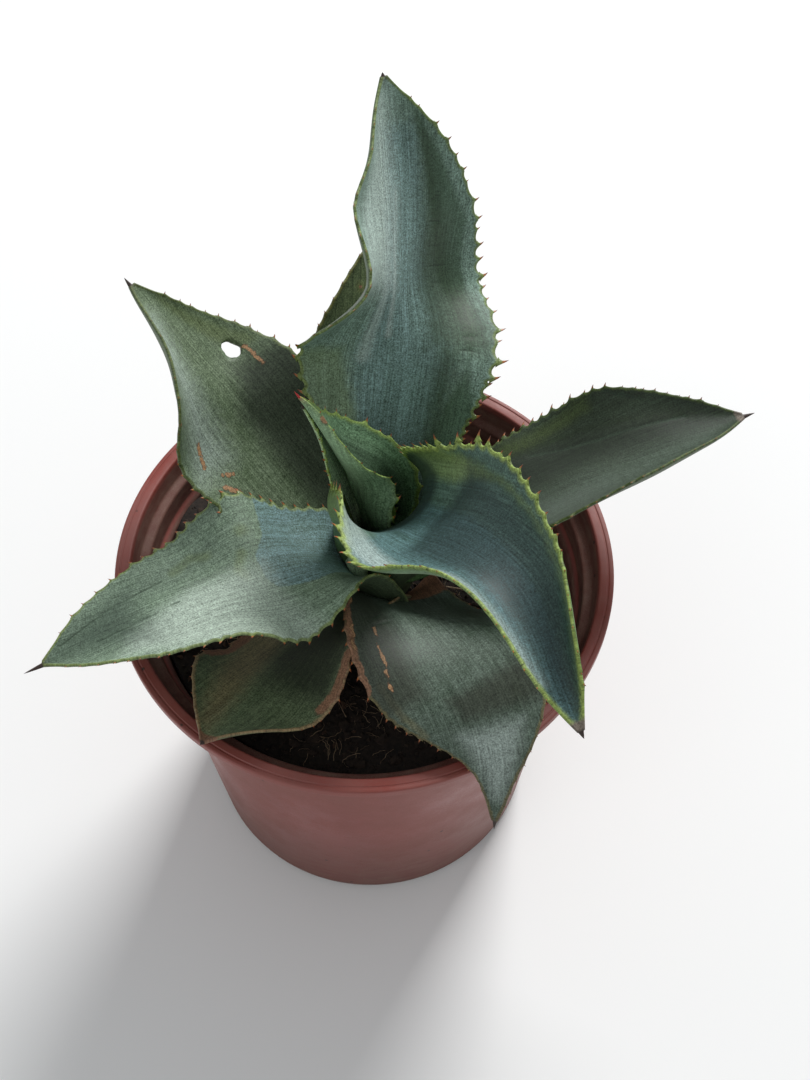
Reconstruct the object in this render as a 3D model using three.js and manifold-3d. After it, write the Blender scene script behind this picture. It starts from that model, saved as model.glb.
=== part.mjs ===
// A young agave in a round plastic nursery pot, at its real size in millimetres, +Z up.
// The origin is the middle of the pot's underside. The near side of the plant faces -Y.
//
// The pot is turned from one profile. The soil fills it, and a short stem stands in a plain hole in the soil.
// Eight grown leaves and three young ones spiral up the stem. Each leaf is one solid: a curved gutter
// that follows its own midrib, with toothed margins and a spine at its tip.

import * as THREE from 'three'
import { mergeVertices } from 'three/addons/utils/BufferGeometryUtils.js'
import Module from 'manifold-3d'

const wasm = await Module()
wasm.setup()

// ---- driving dimensions ------------------------------------------------------------------------------

const POT = {
  height: 200,
  rimRadius: 120,
  rimBore: 113,
  lipHeight: 5,
  lipBevel: 1.2,
  edgeRound: 0.8,
  collarRadius: 112.4,
  collarBore: 110.4,
  collarHeight: 15,
  shoulderRadius: 104.5,
  baseRadius: 90,
  footRadius: 85,
  footCorner: 6,
  wall: 2.5,
  floor: 3,
  ledgeRadius: 106,
  ledgeDepth: 9,
  sides: 44,
}
const DRAIN = { count: 6, radius: 6, ring: 56, sides: 8 }

const SOIL = { level: 172, lean: 4, leanHeading: 217, bump: 1.6, bumpLength: 52, rings: 5, sides: 36 }

const STEM = { x: 5, y: 6, radius: 15, foot: 140, shoulder: 198, top: 226, tipRadius: 4, sides: 16 }

// A gap that parts standing in or against each other keep.
const CLEARANCE = 0.35

// A blade is drawn with this many steps from root to tip, and columns from midrib to margin. The slope across
// it grows with the power curl of the way to the margin, and its thickness falls with the power swell.
const BLADE = {
  steps: 16,
  columns: 3,
  curl: 1.3,
  swell: 1.6,
  edge: 1.5,
  tipThickness: 2.4,
  leastBreadth: 0.02,
}

// Thickness of a grown leaf along its midrib, at the same stations as its other values.
const STATIONS = [0, 0.1, 0.24, 0.4, 0.56, 0.72, 0.87, 1]
const MIDRIB_THICKNESS = [10, 8.5, 6.5, 5.2, 4.4, 3.8, 3.2, BLADE.tipThickness]

// Teeth stand from first to last along a margin. The smallest is least of the full size.
const TOOTH = {
  spacing: 14, width: 2.8, thickness: 1.1, sunk: 1.3, hook: 0.7, least: 0.45, first: 0.13, last: 0.94,
}

const SPINE = { width: 2.6, sunk: 5 }

// Every leaf is described from its root on the stem to its tip, at the eight stations above:
//   climb    slope of the midrib above the horizontal, in degrees
//   sway     turn of the midrib to the left of its heading, in degrees
//   left     how far the left margin is lifted out of the blade's plane, in degrees
//   right    the same for the right margin
//   breadth  breadth as a share of the leaf's width
// A heading is measured from +X towards +Y. A root is given from the pot's underside.
// The leaves are listed from the heart of the plant outwards, because each one makes way for those before it.
const LEAVES = [
  {
    name: 'leaf_spear', root: [5, 7, 214], length: 58, width: 30, heading: 172, thin: 0.6,
    tooth: 1.2, spine: 4,
    climb: [88, 84, 80, 77, 76, 75, 75, 75],
    sway: [0, 0, 0, 0, 0, 0, 0, 0],
    left: [120, 120, 115, 110, 110, 110, 100, 90],
    right: [120, 120, 115, 110, 110, 110, 100, 90],
    breadth: [0.9, 0.94, 1, 0.98, 0.84, 0.6, 0.32, 0.02],
    color: 0x7d9c78,
  },
  {
    name: 'leaf_bud', root: [1, 7, 202], length: 124, width: 56, heading: 178, thin: 0.5, tooth: 2, spine: 5,
    climb: [107, 104, 91, 64, 70, 72, 68, 66],
    sway: [4, 1, -1, -3, 1, 2, 4, 4],
    left: [104, 86, 82, 73, 95, 60, 64, 113],
    right: [119, 114, 95, 70, 39, 3, 7, 29],
    breadth: [0.68, 0.87, 1.01, 1.01, 0.99, 0.69, 0.34, 0.02],
    color: 0x6a9268,
  },
  {
    name: 'leaf_bud_outer', root: [-3.5, 8.3, 200], length: 112, width: 50, heading: 176, thin: 0.6,
    tooth: 2.2, spine: 3, rightShare: 0.9,
    climb: [102, 95, 85, 75, 75, 77, 72, 69],
    sway: [3, 0, -2, -2, 0, 1, 0, 2],
    left: [68, 58, 43, 23, 10, 4, 25, 36],
    right: [100, 95, 80, 50, 10, 0, 21, 37],
    breadth: [0.8, 0.85, 0.93, 0.88, 0.64, 0.38, 0.14, 0.02],
    color: 0x6f9a72,
  },
  {
    name: 'leaf_front_right', root: [11, -1, 199], length: 251, width: 83, heading: 294, tooth: 3.2, spine: 3,
    climb: [88, 78, 61, 49, 44, 13, -11, -17],
    sway: [-7, -7, -5, -2, 11, 9, -6, -1],
    left: [58, 93, 138, 125, 63, 63, 106, 38],
    right: [116, 127, 114, 100, 40, 60, 61, 20],
    breadth: [0.95, 0.95, 0.96, 0.93, 0.95, 0.6, 0.35, 0.02],
    color: 0x5f8c94,
  },
  {
    name: 'leaf_back', root: [6, 19, 210], length: 208, width: 95, heading: 89, tooth: 3.4, spine: 2,
    climb: [74, 66, 54, 52, 47, 41, 48, 55],
    sway: [-4, -8, -10, -11, -2, 4, 11, 15],
    left: [160, 122, 84, 54, 101, 83, 93, 76],
    right: [61, 33, 15, 11, -19, -17, 14, 30],
    breadth: [0.77, 0.76, 0.81, 0.96, 1.06, 0.95, 0.52, 0.02],
    color: 0x5b8583,
  },
  {
    name: 'leaf_right', root: [16, 9, 181], length: 189, width: 89, heading: 13, tooth: 2.2, spine: 6,
    climb: [69, 50, 33, 24, 18, 12, 9, 9],
    sway: [-6, -5, -4, -1, 2, 2, 2, 4],
    left: [55, 35, 10, 0, 5, 35, 40, 45],
    right: [90, 80, 55, 45, 55, 70, 70, 60],
    breadth: [0.74, 0.76, 0.8, 0.92, 1, 0.84, 0.46, 0.02],
    color: 0x4c6b55,
  },
  {
    name: 'leaf_left', root: [-2, 2, 180], length: 183, width: 85, heading: 207, tooth: 2.4, spine: 10,
    climb: [77, 61, 40, 19, 4, -6, -10, -10],
    sway: [3, 4, 5, 3, 1, -3, -4, -4],
    left: [65, 65, 60, 10, 30, 35, 45, 45],
    right: [70, 55, 30, 15, -10, -5, 10, 30],
    breadth: [0.74, 0.74, 0.78, 0.98, 0.96, 0.78, 0.46, 0.02],
    color: 0x6b8b7a,
  },
  {
    name: 'leaf_back_left', root: [-5, 12, 176], length: 177, width: 84, heading: 143, tooth: 1.8, spine: 5,
    climb: [64, 53, 44, 41, 42, 42, 40, 39],
    sway: [2, 3, 2, 0, -2, -1, -3, -4],
    left: [65, 50, 35, 25, 25, 60, 80, 75],
    right: [65, 50, 35, 30, 30, 15, 10, 20],
    breadth: [0.7, 0.72, 0.8, 0.92, 1, 0.84, 0.44, 0.02],
    hole: { at: 0.7, across: 0.6, radius: 4.2, sides: 7 },
    color: 0x577a68,
  },
  {
    name: 'leaf_front', root: [10, -6, 174], length: 165, width: 82, heading: 291, tooth: 1.5, spine: 5,
    climb: [65, 53, 38, 21, 0, -23, -44, -55],
    sway: [0, 4, 7, 8, 8, -1, -17, -28],
    left: [50, 15, -15, -10, 5, 20, 35, 45],
    right: [65, 65, 45, 20, -5, -10, 0, 25],
    breadth: [0.68, 0.68, 0.82, 0.98, 0.96, 0.66, 0.22, 0.02],
    color: 0x566f66,
  },
  {
    name: 'leaf_front_left', root: [-2, -3, 177], length: 127, width: 78, heading: 235, tooth: 1.5, spine: 2,
    climb: [57, 34, 12, 5, 8, 16, 21, 21],
    sway: [1, 2, 1, 1, -1, -1, 0, 1],
    left: [60, 55, 50, 50, 30, 20, 35, 60],
    right: [60, 35, 0, -20, -15, 5, 15, 30],
    breadth: [0.7, 0.7, 0.78, 0.9, 0.98, 0.86, 0.46, 0.02],
    color: 0x4a6450,
  },
  {
    name: 'leaf_back_low', root: [2, 16, 170], length: 166, width: 78, heading: 91, tooth: 2, spine: 4,
    climb: [66, 52, 42, 35, 33, 33, 33, 34],
    sway: [-1, -3, -5, -5, -4, -1, 2, 5],
    left: [60, 50, 35, 30, 35, 50, 60, 60],
    right: [60, 50, 35, 30, 30, 35, 40, 45],
    breadth: [0.62, 0.66, 0.78, 0.94, 1, 0.82, 0.46, 0.02],
    color: 0x4d6b48,
  },
]

// ---- solids ------------------------------------------------------------------------------------------

const radians = THREE.MathUtils.degToRad

// A closed mesh as a solid that can be joined and cut. Triangles that shrink to a line at a pole are dropped.
function solidOf(geometry) {
  const bare = geometry.clone()
  bare.deleteAttribute('normal')
  bare.deleteAttribute('uv')
  const merged = mergeVertices(bare, 1e-4)
  const corners = merged.index.array
  const kept = []
  for (let i = 0; i < corners.length; i += 3) {
    const [a, b, c] = [corners[i], corners[i + 1], corners[i + 2]]
    if (a !== b && b !== c && c !== a) kept.push(a, b, c)
  }
  return new wasm.Manifold(new wasm.Mesh({
    numProp: 3,
    vertProperties: new Float32Array(merged.attributes.position.array),
    triVerts: new Uint32Array(kept),
  }))
}

function geometryOf(solid) {
  const { vertProperties, triVerts } = solid.getMesh()
  const geometry = new THREE.BufferGeometry()
  geometry.setAttribute('position', new THREE.BufferAttribute(vertProperties, 3))
  geometry.setIndex(new THREE.BufferAttribute(triVerts, 1))
  geometry.computeVertexNormals()
  return geometry
}

// The body that is left when the loose scraps of a cut are dropped.
function largestBody(solid) {
  const bodies = solid.decompose()
  return bodies.reduce((best, body) => (body.volume() > best.volume() ? body : best))
}

function meshOf(name, solid, color, roughness) {
  const material = new THREE.MeshStandardMaterial({ color, roughness, metalness: 0 })
  const mesh = new THREE.Mesh(geometryOf(solid), material)
  mesh.name = name
  return mesh
}

// A profile of [radius, height] pairs turned about the vertical through x, y.
function turned(profile, sides, x = 0, y = 0) {
  const points = profile.map(([radius, height]) => new THREE.Vector2(radius, height))
  return new THREE.LatheGeometry(points, sides).rotateX(Math.PI / 2).translate(x, y, 0)
}

// ---- pot ---------------------------------------------------------------------------------------------

const shoulderHeight = POT.height - POT.lipHeight - POT.collarHeight
const wallSlope = (POT.shoulderRadius - POT.baseRadius) / (shoulderHeight - POT.footCorner)

// Inner radius of the tapered wall at a height.
function boreAt(height) {
  return POT.baseRadius - POT.wall + wallSlope * (height - POT.footCorner)
}

function makePot() {
  const lipBottom = POT.height - POT.lipHeight
  const ledge = POT.height - POT.ledgeDepth
  const round = POT.edgeRound
  // The foot's corner is an arc drawn with one point between its ends, near 60 degrees round it.
  const cornerReach = (POT.baseRadius - POT.footRadius) * Math.sin(Math.PI / 3)
  const cornerRise = POT.footCorner * (1 - Math.cos(Math.PI / 3))
  const profile = [
    [0, 0],
    [POT.footRadius, 0],
    [POT.footRadius + cornerReach, cornerRise],
    [POT.baseRadius, POT.footCorner],
    [POT.shoulderRadius, shoulderHeight],
    [POT.collarRadius, shoulderHeight + 2 * round],
    [POT.collarRadius + round, lipBottom],
    [POT.rimRadius - round, lipBottom],
    [POT.rimRadius, lipBottom + round],
    [POT.rimRadius, POT.height - POT.lipBevel],
    [POT.rimRadius - POT.lipBevel, POT.height],
    [POT.rimBore + round, POT.height],
    [POT.rimBore, POT.height - round],
    [POT.collarBore, ledge],
    [POT.ledgeRadius, ledge - round],
    [POT.ledgeRadius - round, shoulderHeight],
    [boreAt(shoulderHeight - POT.wall), shoulderHeight - POT.wall],
    [boreAt(POT.footCorner), POT.footCorner],
    [boreAt(POT.footCorner) - POT.floor, POT.floor],
    [0, POT.floor],
  ]
  const drains = []
  for (let i = 0; i < DRAIN.count; i++) {
    const angle = (i / DRAIN.count) * Math.PI * 2
    const [x, y] = [DRAIN.ring * Math.cos(angle), DRAIN.ring * Math.sin(angle)]
    const drain = [[0, -1], [DRAIN.radius, -1], [DRAIN.radius, POT.floor + 1], [0, POT.floor + 1]]
    drains.push(solidOf(turned(drain, DRAIN.sides, x, y)))
  }
  return solidOf(turned(profile, POT.sides)).subtract(wasm.Manifold.union(drains))
}

// ---- stem and soil -----------------------------------------------------------------------------------

function makeStem(grow = 0) {
  const profile = [
    [0, STEM.foot - grow],
    [STEM.tipRadius + grow, STEM.foot - grow],
    [STEM.radius + grow, STEM.foot + STEM.radius],
    [STEM.radius + grow, STEM.shoulder],
    [STEM.tipRadius + grow, STEM.top + grow],
    [0, STEM.top + grow],
  ]
  return solidOf(turned(profile, STEM.sides, STEM.x, STEM.y))
}

// Height of the soil's surface: heaped towards the near left edge, with shallow bumps of two lengths.
function soilHeight(x, y) {
  const heading = radians(SOIL.leanHeading)
  const reach = Math.hypot(x, y) / POT.ledgeRadius
  const lean = (SOIL.lean * reach * (x * Math.cos(heading) + y * Math.sin(heading))) / POT.ledgeRadius
  const wave = (Math.PI * 2) / SOIL.bumpLength
  const bumps = Math.sin(x * wave + 1) * Math.cos(y * wave) + Math.sin((x * wave) / 2 - (y * wave) / 2)
  return SOIL.level + lean + SOIL.bump * bumps
}

// A stack of rings, each a list of points. The first and the last ring close at their own middle point.
function stackedRings(rings, bottom, top) {
  const sides = rings[0].length
  const points = [bottom, ...rings.flat(), top]
  const at = (ring, side) => 1 + ring * sides + (side % sides)
  const faces = []
  for (let side = 0; side < sides; side++) {
    faces.push(0, at(0, side + 1), at(0, side))
    for (let ring = 0; ring < rings.length - 1; ring++) {
      faces.push(at(ring, side), at(ring, side + 1), at(ring + 1, side + 1))
      faces.push(at(ring, side), at(ring + 1, side + 1), at(ring + 1, side))
    }
    faces.push(points.length - 1, at(rings.length - 1, side), at(rings.length - 1, side + 1))
  }
  const geometry = new THREE.BufferGeometry().setFromPoints(points)
  geometry.setIndex(faces)
  return geometry
}

function makeSoil() {
  const ring = (radius, height) => {
    const points = []
    for (let side = 0; side < SOIL.sides; side++) {
      const angle = (side / SOIL.sides) * Math.PI * 2
      const [x, y] = [radius * Math.cos(angle), radius * Math.sin(angle)]
      points.push(new THREE.Vector3(x, y, height ?? soilHeight(x, y)))
    }
    return points
  }
  const floor = POT.floor + CLEARANCE
  // A ring of straight sides lies inside the true circle, so the soil is drawn in by that much.
  const inset = CLEARANCE + boreAt(0) * (1 - Math.cos(Math.PI / POT.sides))
  const edge = boreAt(SOIL.level - SOIL.lean - 3 * SOIL.bump) - inset
  const rings = [
    ring(boreAt(POT.footCorner) - POT.floor - inset, floor),
    ring(boreAt(POT.footCorner) - inset, POT.footCorner + CLEARANCE),
  ]
  for (let i = SOIL.rings; i > 0; i--) rings.push(ring((edge * i) / SOIL.rings))
  const bottom = new THREE.Vector3(0, 0, floor)
  const top = new THREE.Vector3(0, 0, soilHeight(0, 0))
  return solidOf(stackedRings(rings, bottom, top))
}

// ---- leaves ------------------------------------------------------------------------------------------

// A smooth curve through a leaf's values at its stations, read at t from 0 to 1.
function smooth(values, t) {
  const last = STATIONS.length - 1
  const rise = (i) => (values[i + 1] - values[i]) / (STATIONS[i + 1] - STATIONS[i])
  const slope = (i) => {
    if (i === 0) return rise(0)
    if (i === last) return rise(last - 1)
    const before = STATIONS[i] - STATIONS[i - 1]
    const after = STATIONS[i + 1] - STATIONS[i]
    return (before * rise(i) + after * rise(i - 1)) / (before + after)
  }
  let i = 0
  while (i < last - 1 && t >= STATIONS[i + 1]) i++
  const width = STATIONS[i + 1] - STATIONS[i]
  const s = (t - STATIONS[i]) / width
  const ease = 3 * s ** 2 - 2 * s ** 3
  const bend = slope(i) * (s ** 3 - 2 * s ** 2 + s) + slope(i + 1) * (s ** 3 - s ** 2)
  return values[i] * (1 - ease) + values[i + 1] * ease + bend * width
}

// The direction of a leaf's midrib at t, with the directions to its right and out of its upper face.
function frameAt(leaf, t) {
  const climb = radians(smooth(leaf.climb, t))
  const heading = radians(leaf.heading + smooth(leaf.sway, t))
  const along = new THREE.Vector3(
    Math.cos(climb) * Math.cos(heading), Math.cos(climb) * Math.sin(heading), Math.sin(climb))
  const right = new THREE.Vector3(Math.sin(heading), -Math.cos(heading), 0)
  return { along, right, up: right.clone().cross(along) }
}

// The midrib as a list of points, one for each step.
function midribOf(leaf, steps) {
  const points = [new THREE.Vector3(...leaf.root)]
  for (let i = 1; i <= steps; i++) {
    const mean = frameAt(leaf, (i - 1) / steps).along.add(frameAt(leaf, i / steps).along)
    points.push(points[i - 1].clone().addScaledVector(mean, leaf.length / steps / 2))
  }
  return points
}

// A row of points across the upper face at t, from the left margin to the right one.
// The slope grows from the midrib to each margin's lift, and both halves start level with each other.
function rowAt(leaf, t, middle, columns) {
  const { right, up } = frameAt(leaf, t)
  const lifts = { left: radians(smooth(leaf.left, t)), right: radians(smooth(leaf.right, t)) }
  const bank = (lifts.right - lifts.left) / 2
  const half = (Math.max(smooth(leaf.breadth, t), BLADE.leastBreadth) * leaf.width) / 2
  const sideOf = (sign, lift, share) => {
    const start = sign * bank
    const side = []
    const point = middle.clone()
    for (let j = 0; j < columns; j++) {
      const slope = start + (lift - start) * ((j + 0.5) / columns) ** BLADE.curl
      point.addScaledVector(right, (sign * Math.cos(slope) * half * share) / columns)
      point.addScaledVector(up, (Math.sin(slope) * half * share) / columns)
      side.push(point.clone())
    }
    return side
  }
  const leftSide = sideOf(-1, lifts.left, 1)
  return [...leftSide.reverse(), middle.clone(), ...sideOf(1, lifts.right, leaf.rightShare ?? 1)]
}

function upperFaceOf(leaf, steps, columns) {
  return midribOf(leaf, steps).map((middle, i) => rowAt(leaf, i / steps, middle, columns))
}

// The normal of a grid of points at row i and column j, out of the upper face.
function normalAt(grid, i, j) {
  const rows = grid.length - 1
  const last = grid[0].length - 1
  const across = grid[i][Math.min(j + 1, last)].clone().sub(grid[i][Math.max(j - 1, 0)])
  const along = grid[Math.min(i + 1, rows)][j].clone().sub(grid[Math.max(i - 1, 0)][j])
  return across.cross(along).normalize()
}

// The blade as one closed mesh. With grow it is larger on every side, to cut room for itself in a neighbour.
function bladeOf(leaf, grow = 0) {
  const { steps, columns, edge } = BLADE
  const upper = upperFaceOf(leaf, steps, columns)
  const wide = columns * 2 + 1
  const tops = []
  const undersides = []
  upper.forEach((row, i) => {
    const t = i / steps
    const middle = smooth(MIDRIB_THICKNESS, t) * (leaf.thin ?? 1)
    row.forEach((point, j) => {
      const c = Math.abs(j - columns) / columns
      const thickness = edge * (leaf.thin ?? 1) + Math.max(middle - edge, 0) * (1 - c ** BLADE.swell)
      const normal = normalAt(upper, i, j)
      const spread = point.clone().sub(row[columns]).normalize().multiplyScalar(c === 1 ? grow : 0)
      spread.addScaledVector(frameAt(leaf, t).along, { 0: -grow, [steps]: grow }[i] ?? 0)
      tops.push(point.clone().addScaledVector(normal, grow).add(spread))
      undersides.push(point.clone().addScaledVector(normal, -thickness - grow).add(spread))
    })
  })
  const under = tops.length
  const faces = []
  const quad = (a, b, c, d) => faces.push(a, b, c, a, c, d)
  for (let i = 0; i < steps; i++) {
    for (let j = 0; j < wide - 1; j++) {
      const [a, b] = [i * wide + j, i * wide + j + 1]
      const [c, d] = [b + wide, a + wide]
      faces.push(a, b, c, a, c, d)
      faces.push(under + a, under + c, under + b, under + a, under + d, under + c)
    }
    const [leftNear, rightNear] = [i * wide, i * wide + wide - 1]
    quad(under + leftNear, leftNear, leftNear + wide, under + leftNear + wide)
    quad(rightNear, under + rightNear, under + rightNear + wide, rightNear + wide)
  }
  for (let j = 0; j < wide - 1; j++) {
    const tip = steps * wide + j
    quad(under + j, under + j + 1, j + 1, j)
    quad(tip, tip + 1, under + tip + 1, under + tip)
  }
  const geometry = new THREE.BufferGeometry().setFromPoints([...tops, ...undersides])
  geometry.setIndex(faces)
  return solidOf(geometry)
}

// A three-sided thorn that stands on base and points to apex, as wide as the two directions given.
function thorn(base, apex, wide, thick) {
  const corners = [
    base.clone().add(wide).sub(thick),
    base.clone().sub(wide).sub(thick),
    base.clone().add(thick),
  ]
  const pointsOut = wide.clone().cross(thick).dot(apex.clone().sub(base)) > 0
  const faces = [0, 1, 2, 0, 3, 1, 1, 3, 2, 2, 3, 0]
  const geometry = new THREE.BufferGeometry().setFromPoints([...corners, apex])
  geometry.setIndex(pointsOut ? faces : faces.reverse())
  return solidOf(geometry)
}

// Teeth along both margins. They are smaller near the root and the tip, and lean towards the tip.
function teethOf(leaf, grow = 0) {
  const span = TOOTH.last - TOOTH.first
  const count = Math.round((leaf.length * span) / TOOTH.spacing)
  const steps = BLADE.steps * 8
  const fine = upperFaceOf(leaf, steps, BLADE.columns)
  const teeth = []
  for (let k = 0; k <= count; k++) {
    const i = Math.round(steps * (TOOTH.first + (span * k) / count))
    const size = TOOTH.least + (1 - TOOTH.least) * Math.sin((Math.PI * (k + 1)) / (count + 2))
    for (const edge of [0, BLADE.columns * 2]) {
      const inner = edge === 0 ? 1 : edge - 1
      const margin = fine[i][edge]
      const out = margin.clone().sub(fine[i][inner]).normalize()
      const along = fine[i + 1][edge].clone().sub(fine[i - 1][edge]).normalize()
      const normal = normalAt(fine, i, edge)
      const middle = margin.clone().addScaledVector(normal, (-BLADE.edge / 2) * (leaf.thin ?? 1))
      const base = middle.clone().addScaledVector(out, -TOOTH.sunk)
      const apex = middle.clone().addScaledVector(out, leaf.tooth * size + grow)
      apex.addScaledVector(along, TOOTH.hook * size)
      const wide = along.clone().multiplyScalar((TOOTH.width * size) / 2 + grow)
      const thick = normal.clone().multiplyScalar((TOOTH.thickness * (leaf.thin ?? 1)) / 2 + grow)
      teeth.push(thorn(base, apex, wide, thick))
    }
  }
  return teeth
}

function spineOf(leaf, grow = 0) {
  const tip = midribOf(leaf, BLADE.steps).at(-1)
  const { along, right, up } = frameAt(leaf, 1)
  const base = tip.clone().addScaledVector(along, -SPINE.sunk)
  base.addScaledVector(up, (-BLADE.tipThickness / 2) * (leaf.thin ?? 1))
  const apex = tip.clone().addScaledVector(along, leaf.spine + grow)
  const half = (SPINE.width * (leaf.thin ?? 1)) / 2 + grow
  return thorn(base, apex, right.clone().multiplyScalar(half), up.clone().multiplyScalar(half))
}

// The hole that something has eaten in a blade: at along its length, across towards the right margin.
function biteOf(leaf) {
  const { at, across, radius, sides } = leaf.hole
  const steps = BLADE.steps * 4
  const face = upperFaceOf(leaf, steps, BLADE.columns)
  const i = Math.round(at * steps)
  const margin = face[i][BLADE.columns * 2]
  const centre = face[i][BLADE.columns].clone().lerp(margin, across)
  const normal = normalAt(face, i, BLADE.columns + 1)
  const prism = new THREE.CylinderGeometry(radius, radius, radius * 5, sides)
  const turn = new THREE.Quaternion().setFromUnitVectors(new THREE.Vector3(0, 1, 0), normal)
  return solidOf(prism.applyQuaternion(turn).translate(centre.x, centre.y, centre.z))
}

// A whole leaf: blade, teeth and spine joined, and cut clear of what grows inside it.
function makeLeaf(leaf, inside) {
  let solid = wasm.Manifold.union([bladeOf(leaf), ...teethOf(leaf), spineOf(leaf)])
  if (leaf.hole) solid = solid.subtract(biteOf(leaf))
  return largestBody(solid.subtract(wasm.Manifold.union(inside)))
}

// ---- assembly ----------------------------------------------------------------------------------------

const pottedAgave = new THREE.Group()
pottedAgave.add(meshOf('pot', makePot(), 0x8f4a3c, 0.45))
pottedAgave.add(meshOf('stem', makeStem(), 0x9aa377, 0.7))

const room = [makeStem(CLEARANCE)]
for (const leaf of LEAVES) {
  pottedAgave.add(meshOf(leaf.name, makeLeaf(leaf, room), leaf.color, 0.55))
  room.push(bladeOf(leaf, CLEARANCE), ...teethOf(leaf, CLEARANCE), spineOf(leaf, CLEARANCE))
}

pottedAgave.add(meshOf('soil', largestBody(makeSoil().subtract(wasm.Manifold.union(room))), 0x2b2019, 0.95))

export default pottedAgave
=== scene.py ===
# %% [markdown]
# # A young agave in a plastic nursery pot
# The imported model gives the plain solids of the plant, and this lesson dresses them. The pot is turned again
# with round edges, every leaf is grown again from the same numbers with a finer skin and real teeth, and the
# soil gets its crumbs and fibres. Lengths are in metres. The origin is the middle of the pot's underside.

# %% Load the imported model
import math

import bmesh
import bpy
import numpy as np
from mathutils import Matrix


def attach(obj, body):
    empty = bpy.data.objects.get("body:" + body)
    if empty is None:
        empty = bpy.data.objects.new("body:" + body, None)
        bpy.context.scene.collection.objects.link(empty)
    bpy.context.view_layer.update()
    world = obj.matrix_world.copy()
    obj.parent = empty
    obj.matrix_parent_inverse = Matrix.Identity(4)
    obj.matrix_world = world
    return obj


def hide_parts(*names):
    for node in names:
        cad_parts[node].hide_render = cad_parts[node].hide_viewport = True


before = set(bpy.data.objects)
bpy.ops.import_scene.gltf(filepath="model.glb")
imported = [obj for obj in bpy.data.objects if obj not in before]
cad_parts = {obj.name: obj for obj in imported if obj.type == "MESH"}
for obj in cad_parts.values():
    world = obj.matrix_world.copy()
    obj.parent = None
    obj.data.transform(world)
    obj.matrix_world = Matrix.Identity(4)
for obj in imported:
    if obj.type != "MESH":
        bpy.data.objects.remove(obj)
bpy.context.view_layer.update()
MM = 0.001
print("nodes of the packed model:", ", ".join(sorted(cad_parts)))

# %% [markdown]
# ## Small helpers
# Meshes come from numpy arrays, because a leaf is a formula and arrays are the quickest way to work one out.
# Node trees are long to write by hand, so short functions add a node, set its values, link it and do sums.

# %% Mesh helpers
def link(piece):
    bpy.context.scene.collection.objects.link(piece)
    return piece


def mesh_piece(name, points, faces):
    mesh = bpy.data.meshes.new(name)
    mesh.from_pydata(np.asarray(points, float).tolist(), [], faces)
    mesh.update()
    mesh.shade_smooth()
    return link(bpy.data.objects.new(name, mesh))


def store(piece, name, values, kind="FLOAT"):
    attribute = piece.data.attributes.new(name, kind, "POINT")
    field = "vector" if kind == "FLOAT_VECTOR" else "value"
    attribute.data.foreach_set(field, np.asarray(values, np.float32).ravel())


def face_outwards(piece):
    shape = bmesh.new()
    shape.from_mesh(piece.data)
    bmesh.ops.recalc_face_normals(shape, faces=shape.faces)
    shape.to_mesh(piece.data)
    shape.free()


# %% Node helpers
def add(tree, kind, inputs=None, **settings):
    node = tree.nodes.new(kind)
    for setting, value in settings.items():
        setattr(node, setting, value)
    for socket, value in (inputs or {}).items():
        if isinstance(value, bpy.types.NodeSocket):
            tree.links.new(value, node.inputs[socket])
        else:
            node.inputs[socket].default_value = value
    return node


def math_node(tree, operation, first, second=0.0, clamp=False):
    return add(tree, "ShaderNodeMath", {0: first, 1: second}, operation=operation, use_clamp=clamp).outputs[0]


def plus(tree, total, *terms):
    for term in terms:
        total = math_node(tree, "ADD", total, term)
    return total


def minus(tree, first, second):
    return math_node(tree, "SUBTRACT", first, second)


def times(tree, product, *factors):
    for factor in factors:
        product = math_node(tree, "MULTIPLY", product, factor)
    return product


def ramp(tree, value, low, high, **settings):
    return add(tree, "ShaderNodeMapRange", {0: value, 1: low, 2: high}, **settings).outputs[0]


def split(tree, vector):
    return add(tree, "ShaderNodeSeparateXYZ", {0: vector}).outputs


def join(tree, x=0.0, y=0.0, z=0.0):
    return add(tree, "ShaderNodeCombineXYZ", {0: x, 1: y, 2: z}).outputs[0]


def scaled(tree, coords, factors):
    return add(tree, "ShaderNodeVectorMath", {0: coords, 1: factors}, operation="MULTIPLY").outputs[0]


def axis_distance(tree, place):
    flat = scaled(tree, place, (1, 1, 0))
    return add(tree, "ShaderNodeVectorMath", {0: flat}, operation="LENGTH").outputs["Value"]


# %% Start a node tree, and end a geometry tree
def new_tree(name, kind, inputs, outputs):
    # An input is given as the name of its kind, or as the number that it starts with.
    tree = bpy.data.node_groups.new(name, kind)
    for label, value in inputs.items():
        socket_kind = value if isinstance(value, str) else type(value).__name__.capitalize()
        socket = tree.interface.new_socket(label, in_out="INPUT", socket_type="NodeSocket" + socket_kind)
        if not isinstance(value, str):
            socket.default_value = value
    for label, socket_kind in outputs.items():
        tree.interface.new_socket(label, in_out="OUTPUT", socket_type="NodeSocket" + socket_kind)
    return tree, add(tree, "NodeGroupInput").outputs, add(tree, "NodeGroupOutput").inputs


def geometry_tree(name, inputs):
    return new_tree(name, "GeometryNodeTree", {"Geometry": "Geometry", **inputs}, {"Geometry": "Geometry"})


def mask_group(name, inputs):
    return new_tree(name, "ShaderNodeTree", inputs, {"Mask": "Float"})


def realized(tree, geometry, material):
    # Instances become real geometry, all of one material.
    whole = add(tree, "GeometryNodeRealizeInstances", {0: geometry}).outputs[0]
    return add(tree, "GeometryNodeSetMaterial", {0: whole, "Material": material}).outputs[0]


def upward_faces(tree, least):
    upward = split(tree, add(tree, "GeometryNodeInputNormal").outputs[0])[2]
    return add(tree, "FunctionNodeCompare", {0: upward, 1: least}, operation="GREATER_THAN").outputs[0]


def new_material(name):
    material = bpy.data.materials.new(name)
    material.use_nodes = True
    return material, material.node_tree, material.node_tree.nodes["Principled BSDF"]


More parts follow.
